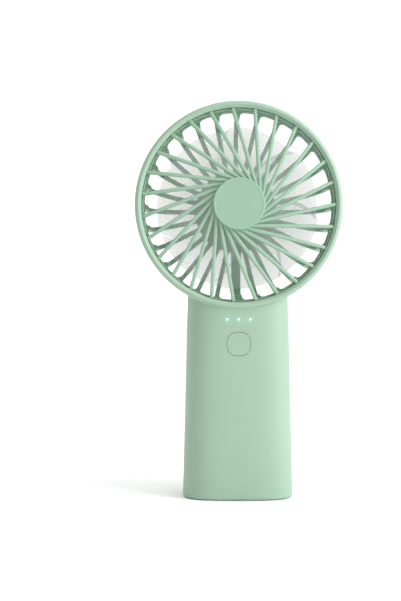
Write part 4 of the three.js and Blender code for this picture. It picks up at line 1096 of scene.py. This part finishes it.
# The front shell's mint, with a painted halo of emission round the three indicator lights.
mint_lit = lit_mint()
frost = frosted()
opal = glowing("opal_window", colour(222, 232, 230), 4.0, 1.25, HEAD_CENTRE, lens_high.x)
finishes = {
    "mint_plastic": mint,
    "frosted_plastic": frost,
    "lamp_lens": opal,
    "white_plastic": moulded_plastic("white_moulding", colour(240, 240, 236), colour(228, 228, 224), 0.4),
    "white_board": moulded_plastic(
        "white_mask_board", colour(244, 245, 244), colour(234, 236, 235), 0.3, 1500.0),
    "green_board": circuit_board(),
    "led_chip": moulded_plastic(
        "phosphor_chip", colour(250, 236, 150), colour(240, 214, 110), 0.3, Coat_Weight=0.5),
    "clear_guide": moulded_plastic("clear_pipe", colour(235, 250, 248), colour(220, 244, 240), 0.2),
    "steel": metal("bright_steel", colour(200, 202, 205), colour(176, 179, 184), 0.25, (1, 0.05, 1)),
    "screw_steel": metal("plated_screw", colour(150, 152, 156), colour(120, 122, 126), 0.3, (1, 0.1, 1)),
    "core_steel": striped(
        "laminated_core", colour(150, 152, 158), colour(70, 72, 78), 0.35 * MM, 0.4, 0.8),
    "ferrite": moulded_plastic("bonded_magnet", colour(62, 62, 66), colour(48, 48, 52), 0.6, 2500.0),
    "copper_wire": striped(
        "copper_winding", colour(205, 120, 62), colour(120, 56, 24), 0.25 * MM, 0.3, 1.0),
    "black_plastic": moulded_plastic("black_moulding", colour(24, 24, 26), colour(16, 16, 18), 0.45),
    "cell_wrap": moulded_plastic(
        "shrink_wrap", colour(42, 120, 176), colour(34, 104, 158), 0.32, 800.0, Coat_Weight=0.3),
    "foam": foam(),
    "lead_jacket": moulded_plastic(
        "red_jacket", colour(178, 40, 40), colour(150, 28, 30), 0.45, 1500.0),
}

# ---- Pieces ----------------------------------------------------------------------------------------
for part in frame["record"]["subparts"]:
    mesh = frame["nodes"][part["node"]].data
    mesh.materials.clear()
    mesh.materials.append(finishes[part["material_slot"]])

piece(front_handle(), "handle_front", "fan_body", "mint_plastic", mint_lit, "front_shell")
piece(rear_handle(), "handle_rear", "fan_body", "mint_plastic", mint, "rear_shell")
piece(foot_cap(), "foot_plug", "fan_body", "mint_plastic", mint, "bottom_cap")
piece(grille(), "grille", "fan_body", "mint_plastic", mint_head_painted_shade, "front_grille")
piece(hub_cap(), "grille_badge", "fan_body", "mint_plastic", mint_badge, "hub_cap", crease=15)
piece(cage(), "cage", "fan_body", "mint_plastic", mint_head_painted_shade, "rear_cage")
piece(lamp_cup(), "lamp_bowl", "fan_body", "mint_plastic", mint_head_painted_shade, "lamp_cup")
piece(lamp_lens(), "lamp_window", "fan_body", "lamp_lens", opal, "lamp_lens")
piece(impeller(), "blades", "rotor", "frosted_plastic", frost, "impeller")
piece(button(), "button_cap", "button", "mint_plastic", mint, "power_button", crease=15)
for i, centre in enumerate(indicator_centres, 1):
    low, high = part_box(f"light_guide_{i}")
    pipe = light_guide(centre, low.y, high.y)
    piece(pipe, f"light_pipe_{i}", "fan_body", "clear_guide", light_pipe(i, centre), f"light_guide_{i}")

# ---- Floor, light and camera -----------------------------------------------------------------------
SKY = 0.53  # the dome's mean strength
SKY_SIDE = 0.38  # added towards the right and taken off on the left
SKY_ABOVE = 0.45
scene = bpy.context.scene


def floor():
    """A big pale sheet that the fan stands on."""
    made, tree, shader = material("pale_floor", Roughness=0.9)
    tone = use(tree, TONE, Light=(0.96, 0.96, 0.96, 1), Dark=(0.94, 0.94, 0.94, 1), Size=3.0)
    feed(tree, shader.inputs["Base Color"], tone["Color"])
    bm = bmesh.new()
    bmesh.ops.create_grid(bm, x_segments=8, y_segments=8, size=6)
    sheet = solid(bm, "floor")
    sheet.data.materials.append(made)


def soft_light(name, width, height, power, place, aim):
    """A rectangular soft light at a place, turned towards a point."""
    lamp = bpy.data.lights.new(name, "AREA")
    lamp.shape, lamp.size, lamp.size_y = "RECTANGLE", width, height
    lamp.energy = power
    made = bpy.data.objects.new(name, lamp)
    made.location = place
    made.rotation_euler = (aim - Vector(place)).to_track_quat("-Z", "Y").to_euler()
    scene.collection.objects.link(made)


def studio_sky():
    """Pure white behind the fan, and a soft dome that is brighter on the right and above."""
    world = bpy.data.worlds.new("studio")
    scene.world = world
    world.use_nodes = True
    tree = world.node_tree
    way = node(tree, "SeparateXYZ", Vector=node(tree, "TexCoord").outputs["Generated"]).outputs
    sideways = maths(tree, "MULTIPLY_ADD", way["X"], SKY_SIDE, SKY)
    dome = maths(tree, "MULTIPLY_ADD", way["Z"], SKY_ABOVE, sideways)
    seen = node(tree, "LightPath").outputs["Is Camera Ray"]
    strength = maths(tree, "MAXIMUM", dome, maths(tree, "MULTIPLY", seen, 1.2))
    feed(tree, tree.nodes["Background"].inputs["Strength"], strength)
    tree.nodes["Background"].inputs["Color"].default_value = (1, 1, 1, 1)


floor()
studio_sky()
middle = Vector((0, 0, 0.1))
soft_light("key", 0.45, 0.6, 8.0, (0.85, -0.45, 0.5), middle)
soft_light("left_edge", 0.3, 0.8, 1.6, (-0.8, 0.5, 0.25), middle)
overhead = bpy.data.lights.new("overhead", "SUN")
overhead.energy, overhead.angle = 0.85, radians(60)
scene.collection.objects.link(bpy.data.objects.new("overhead", overhead))

camera = bpy.data.cameras.new("camera")
camera.lens = 60.2
camera.clip_start, camera.clip_end = 0.01, 50
camera_object = bpy.data.objects.new("camera", camera)
camera_object.location = (-0.0195, -0.531, 0.1022)
camera_object.rotation_euler = (pi / 2, 0, 0)
scene.collection.objects.link(camera_object)
scene.camera = camera_object
scene.view_settings.view_transform = "Standard"

# ---- Update ----------------------------------------------------------------------------------------
bpy.context.view_layer.update()
